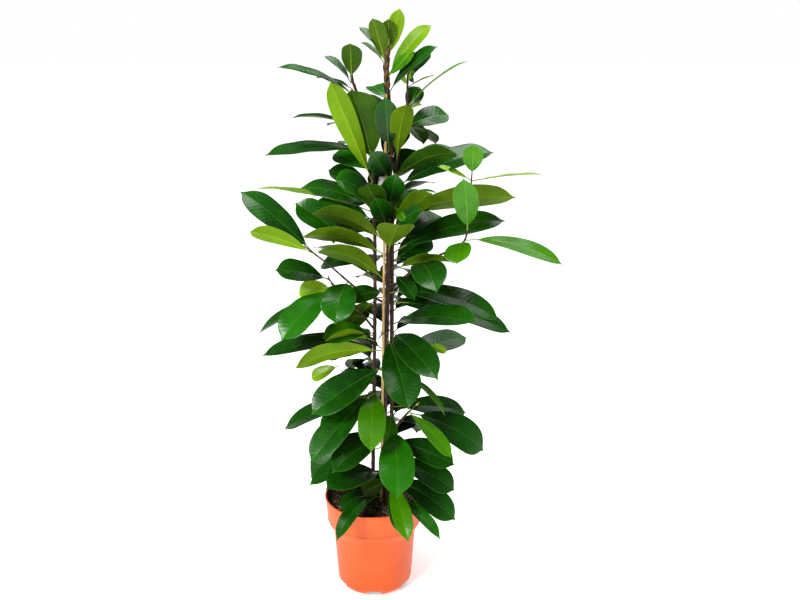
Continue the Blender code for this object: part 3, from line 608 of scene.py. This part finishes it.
def smooth_line(points, per_span):
    """Points along a Catmull-Rom curve through the given ones."""
    line = [Vector(p) for p in points]
    line = [2 * line[0] - line[1]] + line + [2 * line[-1] - line[-2]]
    out = []
    for a, b, c, d in zip(line, line[1:], line[2:], line[3:]):
        for i in range(per_span):
            t = i / per_span
            out.append(0.5 * (2 * b + (c - a) * t + (2 * a - 5 * b + 4 * c - d) * t * t
                              + (3 * b - 3 * c + d - a) * t ** 3))
    out.append(line[-2])
    return out


def stem_line(name, per_span=4):
    """A stem's centreline in world millimetres, as (point, radius)."""
    rise = Vector((0, 0, SOIL_Z))
    return [(Vector(p[:3]) + rise, p[3]) for p in smooth_line(STEMS[name], per_span)]


def at_height(name, height):
    """Centre, radius and direction of a stem at a height above the soil."""
    line = stem_line(name)
    z = SOIL_Z + height
    for (a, ra), (b, rb) in zip(line, line[1:]):
        if a.z <= z <= b.z:
            t = (z - a.z) / (b.z - a.z)
            return a.lerp(b, t), ra + (rb - ra) * t, (b - a).normalized()
    raise ValueError(f"{name} has no point at height {height}")


def stake_at(height):
    """The middle of the stake at a height above the soil, in world millimetres."""
    foot = Vector((*STAKE_FOOT, SOIL_Z - STAKE_DEEP))
    top = Vector(STAKE_TOP) + Vector((0, 0, SOIL_Z))
    return foot.lerp(top, (SOIL_Z + height - foot.z) / (top.z - foot.z))


def tube(name, line, sides, materials, swell=None, lumps=0.0):
    """A closed tube along (point, radius) pairs. swell(i, point) adds to the radius there."""
    points = []
    side = None
    for i, (point, radius) in enumerate(line):
        along = (line[min(i + 1, len(line) - 1)][0] - line[max(i - 1, 0)][0]).normalized()
        if side is None:
            side = along.orthogonal()
        side = (side - along * side.dot(along)).normalized()
        up = along.cross(side)
        wide = radius + (swell(i, point) if swell else 0.0)
        for s in range(sides):
            a = math.tau * s / sides
            way = side * math.cos(a) + up * math.sin(a)
            spot = point + way * wide
            if lumps:
                spot += way * (noise.noise(spot * 0.11) * lumps * radius)
            points.append(spot)
    count = len(line)
    faces = [tuple(range(sides))[::-1], tuple(range((count - 1) * sides, count * sides))]
    for i in range(count - 1):
        for s in range(sides):
            t = (s + 1) % sides
            faces.append((i * sides + s, i * sides + t, (i + 1) * sides + t, (i + 1) * sides + s))
    return new_piece(name, points, faces, materials)


# ---- pot ----
def arc(centre_r, centre_z, radius, start, end, steps):
    """Profile points (radius, height) round part of a circle, angles in degrees."""
    turns = [math.radians(start + (end - start) * i / steps) for i in range(steps + 1)]
    return [(centre_r + radius * math.cos(a), centre_z + radius * math.sin(a)) for a in turns]


def pot_profile():
    """The pot's section as (radius, height), from the middle of its floor inside, over the lip
    and down to the middle of its foot."""
    collar_top = RIM_R - LIP_OUT
    collar_low = collar_top - COLLAR_TAPER
    collar_z = POT_HEIGHT - COLLAR_TALL
    lip = arc(RIM_R - 1.2, POT_HEIGHT - 1.2, 1.2, 90, 0, 5)
    lip += [(RIM_R, POT_HEIGHT - LIP_TALL + 0.9)]
    lip += [(RIM_R - 0.4, POT_HEIGHT - LIP_TALL + 0.2), (collar_top, POT_HEIGHT - LIP_TALL)]
    collar = [(collar_top - COLLAR_TAPER * t, POT_HEIGHT - LIP_TALL
               - (COLLAR_TALL - LIP_TALL - 3) * t) for t in (0.03, 0.2, 0.4, 0.6, 0.8, 0.97)]
    step = [(collar_low + COLLAR_STEP, collar_z + 1.6), (collar_low + COLLAR_STEP, collar_z + 0.2),
            (collar_low + COLLAR_STEP - 0.2, collar_z), (collar_low - 0.5, collar_z - 0.1),
            (collar_low - 0.5, collar_z - 0.9)]
    slope = [(collar_low + (BODY_TOP_R - collar_low) * (1 - math.cos(math.pi * t)) / 2,
              collar_z - SHOULDER_TALL * t) for t in [0.06 + 0.94 * i / 14 for i in range(15)]]
    wall = [(BODY_TOP_R + (BODY_LOW_R - BODY_TOP_R) * t,
             POT_HEIGHT - COLLAR_TALL - SHOULDER_TALL
             + (CORNER_TALL - POT_HEIGHT + COLLAR_TALL + SHOULDER_TALL) * t)
            for t in (0.04, 0.25, 0.5, 0.75, 0.96)]
    corner = [(FOOT_R + (BODY_LOW_R - FOOT_R) * math.cos(math.radians(a)),
               CORNER_TALL * (1 - math.sin(math.radians(a)))) for a in range(0, 91, 6)]
    foot = [(FOOT_R - 3, 0.0), (NOTCH_IN_R - 6, 0.0), (20.0, 0.0), (0.0, 0.0)]
    outside = lip + collar + step + slope + wall + corner
    inside = [(r - WALL, z) for r, z in [(collar_top, POT_HEIGHT - 0.3)] + slope + wall
              + corner[:-2]][::-1]
    return [(0.0, FLOOR), (FOOT_R - 4, FLOOR)] + inside + outside + foot


def nursery_pot():
    """The pot, turned from its section, with drainage notches cut through its lower corner."""
    profile = pot_profile()
    rows = len(profile)
    points = [(r * math.cos(a), r * math.sin(a), z)
              for a in (math.tau * s / POT_STEPS for s in range(POT_STEPS)) for r, z in profile]
    faces = []
    for s in range(POT_STEPS):
        near, far = s * rows, (s + 1) % POT_STEPS * rows
        for i in range(rows - 1):
            faces.append((near + i, near + i + 1, far + i + 1, far + i))
    body = turn_outwards(new_piece("nursery_pot", points, faces, [moulded_polypropylene()]))
    low, high = NOTCH_WIDE / 2, NOTCH_WIDE / 2 - NOTCH_SLOPE
    tools = []
    for n in range(NOTCHES):
        corners = [(x, y, z) for y in (-NOTCH_IN_R, -BODY_LOW_R - 5)
                   for x, z in ((-low, -5), (low, -5), (high, NOTCH_TALL), (-high, NOTCH_TALL))]
        tool = turn_outwards(new_piece(f"notch_{n}", corners, (
            (0, 1, 2, 3), (4, 7, 6, 5), (0, 4, 5, 1), (1, 5, 6, 2), (2, 6, 7, 3), (3, 7, 4, 0)),
            [body.data.materials[0]], smooth=False))
        tool.rotation_euler.z = math.tau * n / NOTCHES
        cut = body.modifiers.new("notch", "BOOLEAN")
        cut.operation, cut.solver, cut.object = "DIFFERENCE", "EXACT", tool
        tools.append(tool)
    settled(body)
    body.data.shade_smooth()
    body.data.set_sharp_from_angle(angle=math.radians(38))
    for tool in tools:
        bpy.data.objects.remove(tool)
    return stands_for(body, "pot_plastic", "pot")


# ---- soil ----
def soil_top(r, angle):
    """Height of the soil's uneven surface."""
    lumps = (math.sin(3 * angle + r * 0.11) + math.sin(5 * angle - r * 0.17)
             + math.sin(2 * angle + r * 0.29)) / 3
    place = Vector((r * math.cos(angle), r * math.sin(angle), 0))
    rough = noise.noise(place * 0.12) * 1.6 + noise.noise(place * 0.4) * 0.7
    return (SOIL_Z - SOIL_DISH * (r / RIM_R) ** 2 + SOIL_LUMP * lumps * min(1.0, r / 20)
            + rough * min(1.0, (SOIL_EDGE_R - r) / 6))


def soil_rings(edge_r, rings, sides):
    """Points and faces of the soil's top, in rings from its edge to near its middle."""
    points, faces = [], []
    for i in range(rings):
        r = edge_r * (1 - i / rings)
        for s in range(sides):
            a = math.tau * s / sides
            points.append((r * math.cos(a), r * math.sin(a), soil_top(r, a)))
    for i in range(rings - 1):
        for s in range(sides):
            t = (s + 1) % sides
            faces.append((i * sides + s, i * sides + t, (i + 1) * sides + t, (i + 1) * sides + s))
    return points, faces


def potting_soil():
    """The root ball, with a fine uneven top."""
    rings, sides = 44, 120
    points, faces = soil_rings(SOIL_EDGE_R, rings, sides)
    faces.append(tuple(range((rings - 1) * sides, rings * sides)))
    below = len(points)
    for r, z in ((SOIL_EDGE_R - 2, 155), (BODY_TOP_R - 4, 124), (BODY_LOW_R - 4, 20), (58, 3)):
        for s in range(sides):
            a = math.tau * s / sides
            points.append((r * math.cos(a), r * math.sin(a), z))
    for k, start in enumerate((0, *range(below, below + 3 * sides, sides))):
        low = below + k * sides
        for s in range(sides):
            t = (s + 1) % sides
            faces.append((start + s, low + s, low + t, start + t))
    faces.append(tuple(range(below + 3 * sides, below + 4 * sides))[::-1])
    body = turn_outwards(new_piece("potting_soil_ball", points, faces, [damp_peat()]))
    return stands_for(body, "potting_mix", "potting_soil")


def soil_bit(name, stretch, lumpy, seed):
    """One small grain or shred about 1 mm long, to be strewn over the soil."""
    work = bmesh.new()
    bmesh.ops.create_icosphere(work, subdivisions=2, radius=0.5 * MM)
    for v in work.verts:
        push = 1 + lumpy * noise.noise(v.co * 1400 + Vector((seed, 0, 0)))
        v.co = Vector((v.co.x * stretch[0], v.co.y * stretch[1], v.co.z * stretch[2])) * push
        v.co.y += stretch[3] * math.sin(v.co.x / (MM * stretch[0]) * 3) * MM
    mesh = bpy.data.meshes.new(name)
    work.to_mesh(mesh)
    work.free()
    obj = bpy.data.objects.new(name, mesh)
    bpy.context.scene.collection.objects.link(obj)
    return obj


def strewing_tree():
    """Strews copies of a bit over a surface, turned and sized at random."""
    tree = bpy.data.node_groups.new("strew_over_soil", "GeometryNodeTree")
    face = tree.interface
    for name, kind in (("Ground", "Geometry"), ("Bit", "Object"),
                       ("Bits per square metre", "Float"),
                       ("Smallest", "Float"), ("Largest", "Float"), ("Tilt", "Float"),
                       ("Seed", "Int"), ("Finish", "Material")):
        face.new_socket(name, in_out="INPUT", socket_type="NodeSocket" + kind)
    face.new_socket("Strewn", in_out="OUTPUT", socket_type="NodeSocketGeometry")
    put_in = add(tree, "NodeGroupInput").outputs
    spots = add(tree, "GeometryNodeDistributePointsOnFaces", put_in["Ground"],
                Density=put_in["Bits per square metre"], Seed=put_in["Seed"])
    bit = add(tree, "GeometryNodeObjectInfo", put_in["Bit"])
    size = add(tree, "FunctionNodeRandomValue", data_type="FLOAT", Min=put_in["Smallest"],
               Max=put_in["Largest"], Seed=put_in["Seed"])
    least = add(tree, "ShaderNodeMath", put_in["Tilt"], -1.0, operation="MULTIPLY")
    low = add(tree, "ShaderNodeCombineXYZ", least, least)
    high = add(tree, "ShaderNodeCombineXYZ", put_in["Tilt"], put_in["Tilt"], math.tau)
    turn = add(tree, "FunctionNodeRandomValue", data_type="FLOAT_VECTOR", Min=low, Max=high,
               Seed=put_in["Seed"])
    copies = add(tree, "GeometryNodeInstanceOnPoints", spots.outputs["Points"],
                 Instance=bit.outputs["Geometry"], Rotation=turn, Scale=size)
    real = add(tree, "GeometryNodeRealizeInstances", copies)
    coated = add(tree, "GeometryNodeSetMaterial", real, Material=put_in["Finish"])
    add(tree, "NodeGroupOutput", coated)
    return tree


def strew(tree, name, ground, bit, finish, **sizes):
    """A piece made by strewing one kind of bit over the ground."""
    piece = bpy.data.objects.new(name, ground)
    bpy.context.scene.collection.objects.link(piece)
    strewing = piece.modifiers.new("strew", "NODES")
    strewing.node_group = tree
    sockets = {s.name: s.identifier for s in tree.interface.items_tree
               if s.item_type == "SOCKET" and s.in_out == "INPUT"}
    values = {"Bit": bit, "Finish": finish, "Bits per square metre": sizes["density"],
              "Smallest": sizes["smallest"], "Largest": sizes["largest"],
              "Tilt": sizes["tilt"], "Seed": sizes["seed"]}
    for key, value in values.items():
        strewing[sockets[key]] = value
    settled(piece)
    piece.data.shade_smooth()
    bpy.data.objects.remove(bit)
    return stands_for(piece, "potting_mix")


def soil_surface():
    """Just the open top of the soil, as the ground that bits are strewn on."""
    points, faces = soil_rings(SOIL_EDGE_R - BARE_EDGE, 16, 60)
    mesh = bpy.data.meshes.new("soil_surface")
    mesh.from_pydata([Vector(p) * MM for p in points], [], faces)
    return mesh


def strewn_soil():
    """What lies loose on the soil: crumbs, shreds, chips and white grains."""
    tree, ground, peat, fibre = strewing_tree(), soil_surface(), damp_peat(), bark_fibre()
    strew(tree, "peat_crumbs", ground, soil_bit("crumb", (1, 0.8, 0.7, 0), 0.5, 1), peat,
          density=38000, smallest=1.2, largest=5.0, tilt=1.5, seed=3)
    strew(tree, "bark_shreds", ground, soil_bit("shred", (5, 0.5, 0.35, 0.35), 0.3, 2), fibre,
          density=15000, smallest=0.8, largest=2.4, tilt=0.35, seed=5)
    strew(tree, "bark_chips", ground, soil_bit("chip", (1.8, 1.1, 0.4, 0), 0.5, 4), fibre,
          density=11000, smallest=1.0, largest=3.0, tilt=0.5, seed=8)
    strew(tree, "perlite_grains", ground, soil_bit("grain", (1, 0.9, 0.8, 0), 0.4, 6), perlite(),
          density=5200, smallest=0.9, largest=2.6, tilt=1.5, seed=11)


# ---- stake and ties ----
def cane():
    """The bamboo stake: a slightly tapered cane with swollen joints and a sawn top."""
    heights = sorted({*range(-108, int(STAKE_TOP[2]), 12), STAKE_TOP[2],
                      *(j + d for j in STAKE_JOINTS for d in (-4, -1.6, -0.8, 0, 0.8, 1.6, 4))})
    line, marks = [], []
    for h in heights:
        near = min(abs(h - j) for j in STAKE_JOINTS)
        swell = 0.55 * math.exp(-(near / 1.4) ** 2) - 0.18 * math.exp(-((near - 3.5) / 1.5) ** 2)
        line.append((stake_at(h), STAKE_R - 0.05 + swell - 0.25 * max(h, 0) / STAKE_TOP[2]))
        marks.append(math.exp(-(near / 1.2) ** 2))
    sides = 20
    line += [(line[-1][0], line[-1][1] - 0.25)]
    marks += [0.6]
    body = tube("bamboo_cane", line, sides, [dry_cane()])
    give_values(body, "joint", [m for m in marks for _ in range(sides)])
    body.data.set_sharp_from_angle(angle=math.radians(50))
    return stands_for(body, "bamboo", "bamboo_stake")


def tie(i, height):
    """Coated wire wound twice round the stake and the stem, its ends twisted together."""
    stem_centre, stem_r, _ = at_height("main", height)
    stake_centre = stake_at(height)
    along = stem_centre - stake_centre
    middle = (stem_centre + stake_centre) / 2
    thick = max(stem_r, STAKE_R) + TIE_R + 0.6
    long_half = along.length / 2 + thick
    along.z = 0
    along.normalize()
    across = Vector((-along.y, along.x, 0))
    line = []
    for s in range(73):
        a = math.tau * s / 36 + math.pi
        rise = 1.9 * s / 72 - 0.95
        line.append((middle + along * (math.cos(a) * long_half)
                     + across * (math.sin(a) * (thick + 1.0)) + Vector((0, 0, rise)), TIE_R))
    loop = tube("tie_loop", line, 8, [coated_wire()])
    start = line[0][0]
    tails = [loop]
    for turn in (0.0, math.pi):
        tail = []
        for s in range(22):
            a = turn + s * 0.75
            reach = min(s / 4, 1.0) * 1.0
            tail.append((start - along * (s * 0.75) + Vector((0, 0, -s * 0.25))
                         + across * (math.cos(a) * reach)
                         + Vector((0, 0, math.sin(a) * reach)), TIE_R * 0.95))
        tails.append(tube("tie_tail", tail, 8, [loop.data.materials[0]]))
    return stands_for(joined(f"wire_tie_{i}", tails), "tie", f"plant_tie_{i}")


# ---- stems ----
def stem_nodes(name):
    """Heights in the plan where leaves sit on a stem, with older bare scars between them."""
    heights = [row[1] for row in LEAVES if row[0] == name]
    low, high = STEMS[name][0][2], STEMS[name][-1][2]
    chance = random.Random(len(name) * 7 + int(high))
    h = low + 30
    while h < high - 14:
        heights.append(h)
        h += chance.uniform(20, 42) * (1 - 0.45 * (h - low) / (high - low))
    return sorted(heights)


def stem(name, mats):
    """One stem with its branches: ringed at every leaf, lumpy below, green at the tips."""
    parts = []
    for part in [name] + GROWN_TOGETHER[name]:
        line = stem_line(part, 22)
        nodes = [SOIL_Z + h for h in stem_nodes(part)]
        low, high = line[0][0].z, line[-1][0].z

        def ring(i, point):
            near = min(abs(point.z - n) for n in nodes)
            return 0.16 * line[i][1] * math.exp(-(near / 1.8) ** 2)

        sides = 14
        made = tube("stem_" + part, line, sides, mats, ring, 0.16)
        climb = [max(0.0, (p.z - low) / (high - low)) for p, _ in line]
        age = [c ** 1.6 if part in GROWN_TOGETHER else 0.45 + 0.55 * c for c in climb]
        scars = [math.exp(-(min(abs(p.z - n) for n in nodes) / 1.1) ** 2) for p, _ in line]
        give_values(made, "age", [a for a in age for _ in range(sides)])
        give_values(made, "scar", [s for s in scars for _ in range(sides)])
        parts.append(made)
    return stands_for(joined(name + "_stem", parts), "bark", "stem_" + name)


# ---- leaves ----
ACROSS = (-1.0, -0.93, -0.76, -0.55, -0.34, -0.16, -0.05, 0.0, 0.05, 0.16, 0.34, 0.55, 0.76,
          0.93, 1.0)
BLADE_ROWS = (0.0, 0.025, 0.05, 0.08, 0.12, 0.17, 0.22, 0.28, 0.34, 0.40, 0.46, 0.52, 0.58,
              0.64, 0.70, 0.75, 0.80, 0.84, 0.875, 0.905, 0.93, 0.95, 0.97, 0.985, 1.0)


def outline_at(part):
    """Half width of a blade at a part of its length, as a share of its widest."""
    line = smooth_line([(a, b, 0) for a, b in OUTLINE], 8)
    for p, q in zip(line, line[1:]):
        if p.x <= part <= q.x:
            return p.y + (q.y - p.y) * (part - p.x) / max(q.x - p.x, 1e-6)
    return OUTLINE[-1][1]


WIDTHS = [outline_at(part) for part in BLADE_ROWS]


def leaf_of_frame(row):
    """Base, tip, width, face, arch, tone and tint of a leaf from its row in the plan."""
    stem_name, height, tip, width, face, arch, tone, tint = row
    centre, radius, along = at_height(stem_name, height)
    tip = Vector(tip) + Vector((0, 0, SOIL_Z))
    out = tip - centre
    out = (out - along * out.dot(along)).normalized()
    return centre + out * (radius * 0.55), tip, width, face, arch, tone, tint


def small_leaf(row):
    """The same values for one of the small leaves."""
    tip, base, width, face, arch, tone, tint = row
    rise = Vector((0, 0, SOIL_Z))
    return Vector(base) + rise, Vector(tip) + rise, width, face, arch, tone, tint


def leaf(name, shape, seed, mats):
    """One leaf in one closed skin: a round stalk that opens into a blade with a sunken midrib
    above, a raised one below, cupped and gently rippled halves and a drip tip."""
    base, tip, width, face, arch, tone, tint = shape
    chance = random.Random(seed)
    chord = tip - base
    long = chord.length
    face = Vector(face)
    face = (face - chord * (face.dot(chord) / chord.length_squared)).normalized()
    bend = base + chord * BEND_AT + face * (2 * arch)
    half = width * BROAD / 2
    cup = CUP * chance.uniform(0.55, 1.35)
    ripple = min(2.2, width * 0.035) * chance.uniform(0.35, 1.0)
    waves = chance.uniform(1.6, 3.2)
    phases = chance.uniform(0, math.tau), chance.uniform(0, math.tau)
    twist = math.radians(chance.uniform(-11, 11))
    sway = chance.uniform(-0.018, 0.018) * long
    hook = chance.uniform(0.3, 1.0) * min(5.0, long * 0.035)
    stalk_r = PETIOLE_R * min(1.15, 0.55 + width / 90)
    rows = [(-1 + t, PETIOLE_PART * t) for t in STALK_STEPS]
    rows += [(part, PETIOLE_PART + (1 - PETIOLE_PART) * part) for part in BLADE_ROWS]
    count = len(ACROSS)
    points, uvs, edges, parts = [], [], [], []
    for k, (part, s) in enumerate(rows):
        on_blade = max(part, 0.0)
        w = half * WIDTHS[k - len(STALK_STEPS)] if part >= 0 else stalk_r
        w = max(w, 0.35)
        shaped = min(1.0, on_blade / 0.09)
        shaped = shaped * shaped * (3 - 2 * shaped)
        centre = base * (1 - s) ** 2 + bend * (2 * s * (1 - s)) + tip * s * s
        along = ((bend - base) * (1 - s) + (tip - bend) * s).normalized()
        up = (face - along * face.dot(along)).normalized()
        side = along.cross(up)
        turn = twist * on_blade
        side, up = (side * math.cos(turn) + up * math.sin(turn),
                    up * math.cos(turn) - side * math.sin(turn))
        centre = (centre + side * (sway * 4 * s * (1 - s))
                  - up * (hook * max(0.0, (on_blade - 0.8) / 0.2) ** 2))
        thin = 1 - 0.45 * on_blade
        rib = stalk_r * (1 - 0.8 * on_blade)
        stalk = stalk_r * (1.35 if k == 0 else 1.0)
        for layer in (1, -1):
            for a in (ACROSS if layer > 0 else ACROSS[::-1]):
                x = a * w
                lift = (cup * w * (abs(a) ** 1.25 - 0.22 * a ** 4)
                        + ripple * a * a * on_blade ** 0.5 * (1 - on_blade ** 6) * math.sin(
                            waves * math.tau * part + phases[a > 0]))
                ridge = math.exp(-(x / 1.5) ** 2)
                if layer > 0:
                    z = lift + BLADE_THICK / 2 * thin - 0.35 * ridge * thin
                else:
                    z = lift - BLADE_THICK / 2 * thin - rib * 0.9 * ridge
                turned = math.pi * (1 - (a + 1) / 2)
                ring_x = stalk * math.cos(turned)
                ring_z = layer * stalk * max(math.sin(turned), 0.1)
                x = ring_x + (x - ring_x) * shaped
                z = ring_z + (z - ring_z) * shaped
                points.append(centre + side * x + up * z)
                uvs.append((0.5 + x / 100, part * long * (1 - PETIOLE_PART) / 100))
                edges.append(abs(a) * shaped)
                parts.append(on_blade)
    ring = 2 * count
    faces, kinds = [tuple(range(ring))], [2]
    for k in range(len(rows) - 1):
        stalk_here = rows[k + 1][0] < 0.03
        for i in range(ring):
            j = (i + 1) % ring
            faces.append((k * ring + i, (k + 1) * ring + i, (k + 1) * ring + j, k * ring + j))
            kinds.append(2 if stalk_here else 0 if i < count else 1)
    faces.append(tuple(range((len(rows) - 1) * ring, len(rows) * ring))[::-1])
    kinds.append(0)
    made = new_piece(name, points, faces, mats[tone], kinds)
    layer = made.data.uv_layers.new(name="blade")
    corners = [0] * len(made.data.loops)
    made.data.loops.foreach_get("vertex_index", corners)
    layer.data.foreach_set("uv", [value for c in corners for value in uvs[c]])
    give_values(made, "edge", edges)
    give_values(made, "part", parts)
    give_values(made, "tint", [tint] * len(points))
    return made


def leaf_materials():
    """Upper side, under side and stalk for each tone."""
    stalk = leaf_stalk()
    # the under sides' colours are set brighter than their own colour: the extra lightness is
    # painted light shining through the blade
    return {
        "mature": [leaf_upper("mature_fig_leaf", "#031D02", "#093C03", "#247404", "#5E9A30",
                              0.28, 0.11),
                   leaf_under("mature_fig_leaf", "#1E4200", "#446A02", "#7C9C2A"), stalk],
        "young": [leaf_upper("young_fig_leaf", "#124A00", "#2C6C00", "#4A9000", "#88B420",
                             0.30, 0.07),
                  leaf_under("young_fig_leaf", "#2E4E00", "#5E7E04", "#96B028"), stalk],
        "lime": [leaf_upper("new_fig_leaf", "#4C7A02", "#6C9C06", "#9CC21A", "#BFD964",
                            0.32, 0.08),
                 leaf_under("new_fig_leaf", "#527E02", "#7CA408", "#B4CC40"), stalk],
    }


SLOT_OF = {"mature": "leaf_mature", "young": "leaf_young", "lime": "leaf_new"}


def frame_leaves(mats):
    """The finished leaves that stand for the frame's, one for each."""
    for i, row in enumerate(LEAVES, 1):
        made = leaf(f"fig_leaf_{i:02d}", leaf_of_frame(row), i, mats)
        stands_for(made, SLOT_OF[row[6]], f"leaf_{i:02d}")


def small_leaves(mats):
    """The leaves beyond the frame's, joined into one piece for each tone."""
    groups = {}
    for i, row in enumerate(SMALL_LEAVES):
        groups.setdefault(row[5], []).append(leaf(f"small_{i}", small_leaf(row), 100 + i, mats))
    for tone, leaves in groups.items():
        stands_for(joined(f"small_{tone}_leaves", leaves), SLOT_OF[tone])


BACK_STEMS = ("main", "left", "right")
BACK_LEAVES = 46


def back_leaves(mats):
    """Leaves behind the stems, spiralling up each of them as on the front."""
    chance = random.Random(41)
    leaves = []
    for n in range(BACK_LEAVES):
        h = 100 + n * 720 / BACK_LEAVES
        name = BACK_STEMS[n % 3]
        centre, radius, _ = at_height(name, h)
        turn = math.radians(90 + chance.uniform(-62, 62))
        size = 1.0 - 0.35 * h / 900
        reach = chance.uniform(120, 150) * size
        out = Vector((math.cos(turn), math.sin(turn), 0))
        tip = centre + out * reach + Vector((0, 0, chance.uniform(-65, 20)))
        shape = (centre + out * radius * 0.6, tip, chance.uniform(46, 58) * size,
                 (out.x * 0.6, out.y * 0.6, 0.5 + 0.4 * chance.random()),
                 chance.uniform(10, 22) * size,
                 "mature", chance.uniform(0.15, 0.5))
        leaves.append(leaf(f"back_{n}", shape, 300 + n, mats))
    stands_for(joined("back_mature_leaves", leaves), "leaf_mature")


# ---- growing tips ----
def stipules(mats):
    """Papery stipules left round the growing tips, and the pointed buds in them."""
    chance = random.Random(9)
    flakes, buds = [], []
    spots = [("main", h) for h in (770, 790, 806, 820, 832, 843, 852, 860, 868, 876, 883, 890,
                                   897, 904, 911, 918)]
    spots += [("left", h) for h in (800, 826, 850, 868)]
    spots += [("right", h) for h in (800, 832, 852, 868)]
    spots += [("left_twig", h) for h in (455, 470, 482)] + [("right_branch", 660)]
    for n, (name, h) in enumerate(spots):
        centre, radius, along = at_height(name, h)
        turn = n * 2.4 + chance.uniform(-0.4, 0.4)
        side = along.orthogonal().normalized()
        out = side * math.cos(turn) + along.cross(side) * math.sin(turn)
        long = chance.uniform(11, 21)
        curl = chance.uniform(-0.05, 0.45)
        across = along.cross(out)
        points = []
        rows = 7
        for r in range(rows):
            t = r / (rows - 1)
            wide = (radius + 1.2) * math.sin(math.pi * min(1, 0.25 + 0.75 * t)) + 0.1
            middle = centre + out * (radius + 0.3 + curl * long * t * t) + along * (long * t)
            for a, lift in ((-1, -0.8), (-0.5, -0.2), (0, 0), (0.5, -0.2), (1, -0.8)):
                points.append(middle + across * (a * wide) + out * (lift * wide * 0.5))
        faces = [(r * 5 + c, r * 5 + c + 1, (r + 1) * 5 + c + 1, (r + 1) * 5 + c)
                 for r in range(rows - 1) for c in range(4)]
        flake = new_piece(f"flake_{n}", points, faces, mats[:1])
        shell = flake.modifiers.new("thickness", "SOLIDIFY")
        shell.thickness, shell.offset = 0.35 * MM, 0
        flakes.append(settled(flake))
    stands_for(joined("dry_stipules", flakes), "bark")
    for name in ("main", "left", "right", "right_branch", "low"):
        line = stem_line(name)
        top, radius = line[-1]
        way = (top - line[-2][0]).normalized()
        long = 15 if name == "main" else 10
        bud = [(top + way * (long * t), radius * w) for t, w in (
            (-0.2, 0.8), (0, 1.1), (0.2, 1.35), (0.45, 1.15), (0.7, 0.7), (0.9, 0.3), (1, 0.05))]
        buds.append(tube("bud_" + name, bud, 10, mats[1:]))
    stands_for(joined("leaf_buds", buds), "leaf_new")


# ---- studio ----
def studio():
    """White paper sweep, soft room light, three softboxes and the camera."""
    floor = new_piece("studio_floor", [(x * FLOOR_HALF, y * FLOOR_HALF, 0) for x, y in (
        (-1, -1), (1, -1), (1, 1), (-1, 1))], [(0, 1, 2, 3)], [seamless_paper()], smooth=False)
    world = bpy.data.worlds.new("soft_white_room")
    bpy.context.scene.world = world
    world.use_nodes = True
    sky = world.node_tree.nodes["Background"]
    way = add(world.node_tree, "ShaderNodeTexCoord").outputs["Generated"]
    rise = add(world.node_tree, "ShaderNodeSeparateXYZ", way).outputs["Z"]
    dim = add(world.node_tree, "ShaderNodeMapRange", rise, 0.06, 0.3, 1.0, 0.13)
    sky.inputs["Color"].default_value = linear("#FFFFFF")
    world.node_tree.links.new(dim.outputs[0], sky.inputs["Strength"])
    for name, place, aim, size, watts in (
            ("key_softbox", (-1.6, -2.3, 2.5), (0, 0, 0.65), 0.9, 88),
            ("top_softbox", (0.3, 0.2, 2.9), (0, 0, 0.7), 1.4, 45),
            ("back_softbox", (1.2, 1.6, 2.6), (0, 0, 0.8), 1.6, 14)):
        lamp = bpy.data.lights.new(name, "AREA")
        lamp.shape, lamp.size, lamp.energy = "DISK", size, watts
        obj = bpy.data.objects.new(name, lamp)
        bpy.context.scene.collection.objects.link(obj)
        obj.location = place
        obj.rotation_euler = (Vector(aim) - Vector(place)).to_track_quat("-Z", "Y").to_euler()
    lens = bpy.data.cameras.new("studio_camera")
    lens.sensor_width = 36.0
    lens.lens = LENS
    camera = bpy.data.objects.new("studio_camera", lens)
    bpy.context.scene.collection.objects.link(camera)
    camera.location = CAMERA_PLACE
    camera.rotation_euler = (math.radians(90 - CAMERA_TILT), 0, 0)
    bpy.context.scene.camera = camera
    bpy.context.scene.view_settings.view_transform = "Standard"
    bpy.context.scene.view_settings.look = "None"


def build():
    """The studio, then every piece of the potted plant."""
    studio()
    nursery_pot()
    potting_soil()
    strewn_soil()
    cane()
    for i, height in enumerate(TIE_HEIGHTS, 1):
        tie(i, height)
    bark = [young_bark()]
    for name in GROWN_TOGETHER:
        stem(name, bark)
    mats = leaf_materials()
    frame_leaves(mats)
    small_leaves(mats)
    back_leaves(mats)
    stipules([papery_stipule(), bud_green()])


build()
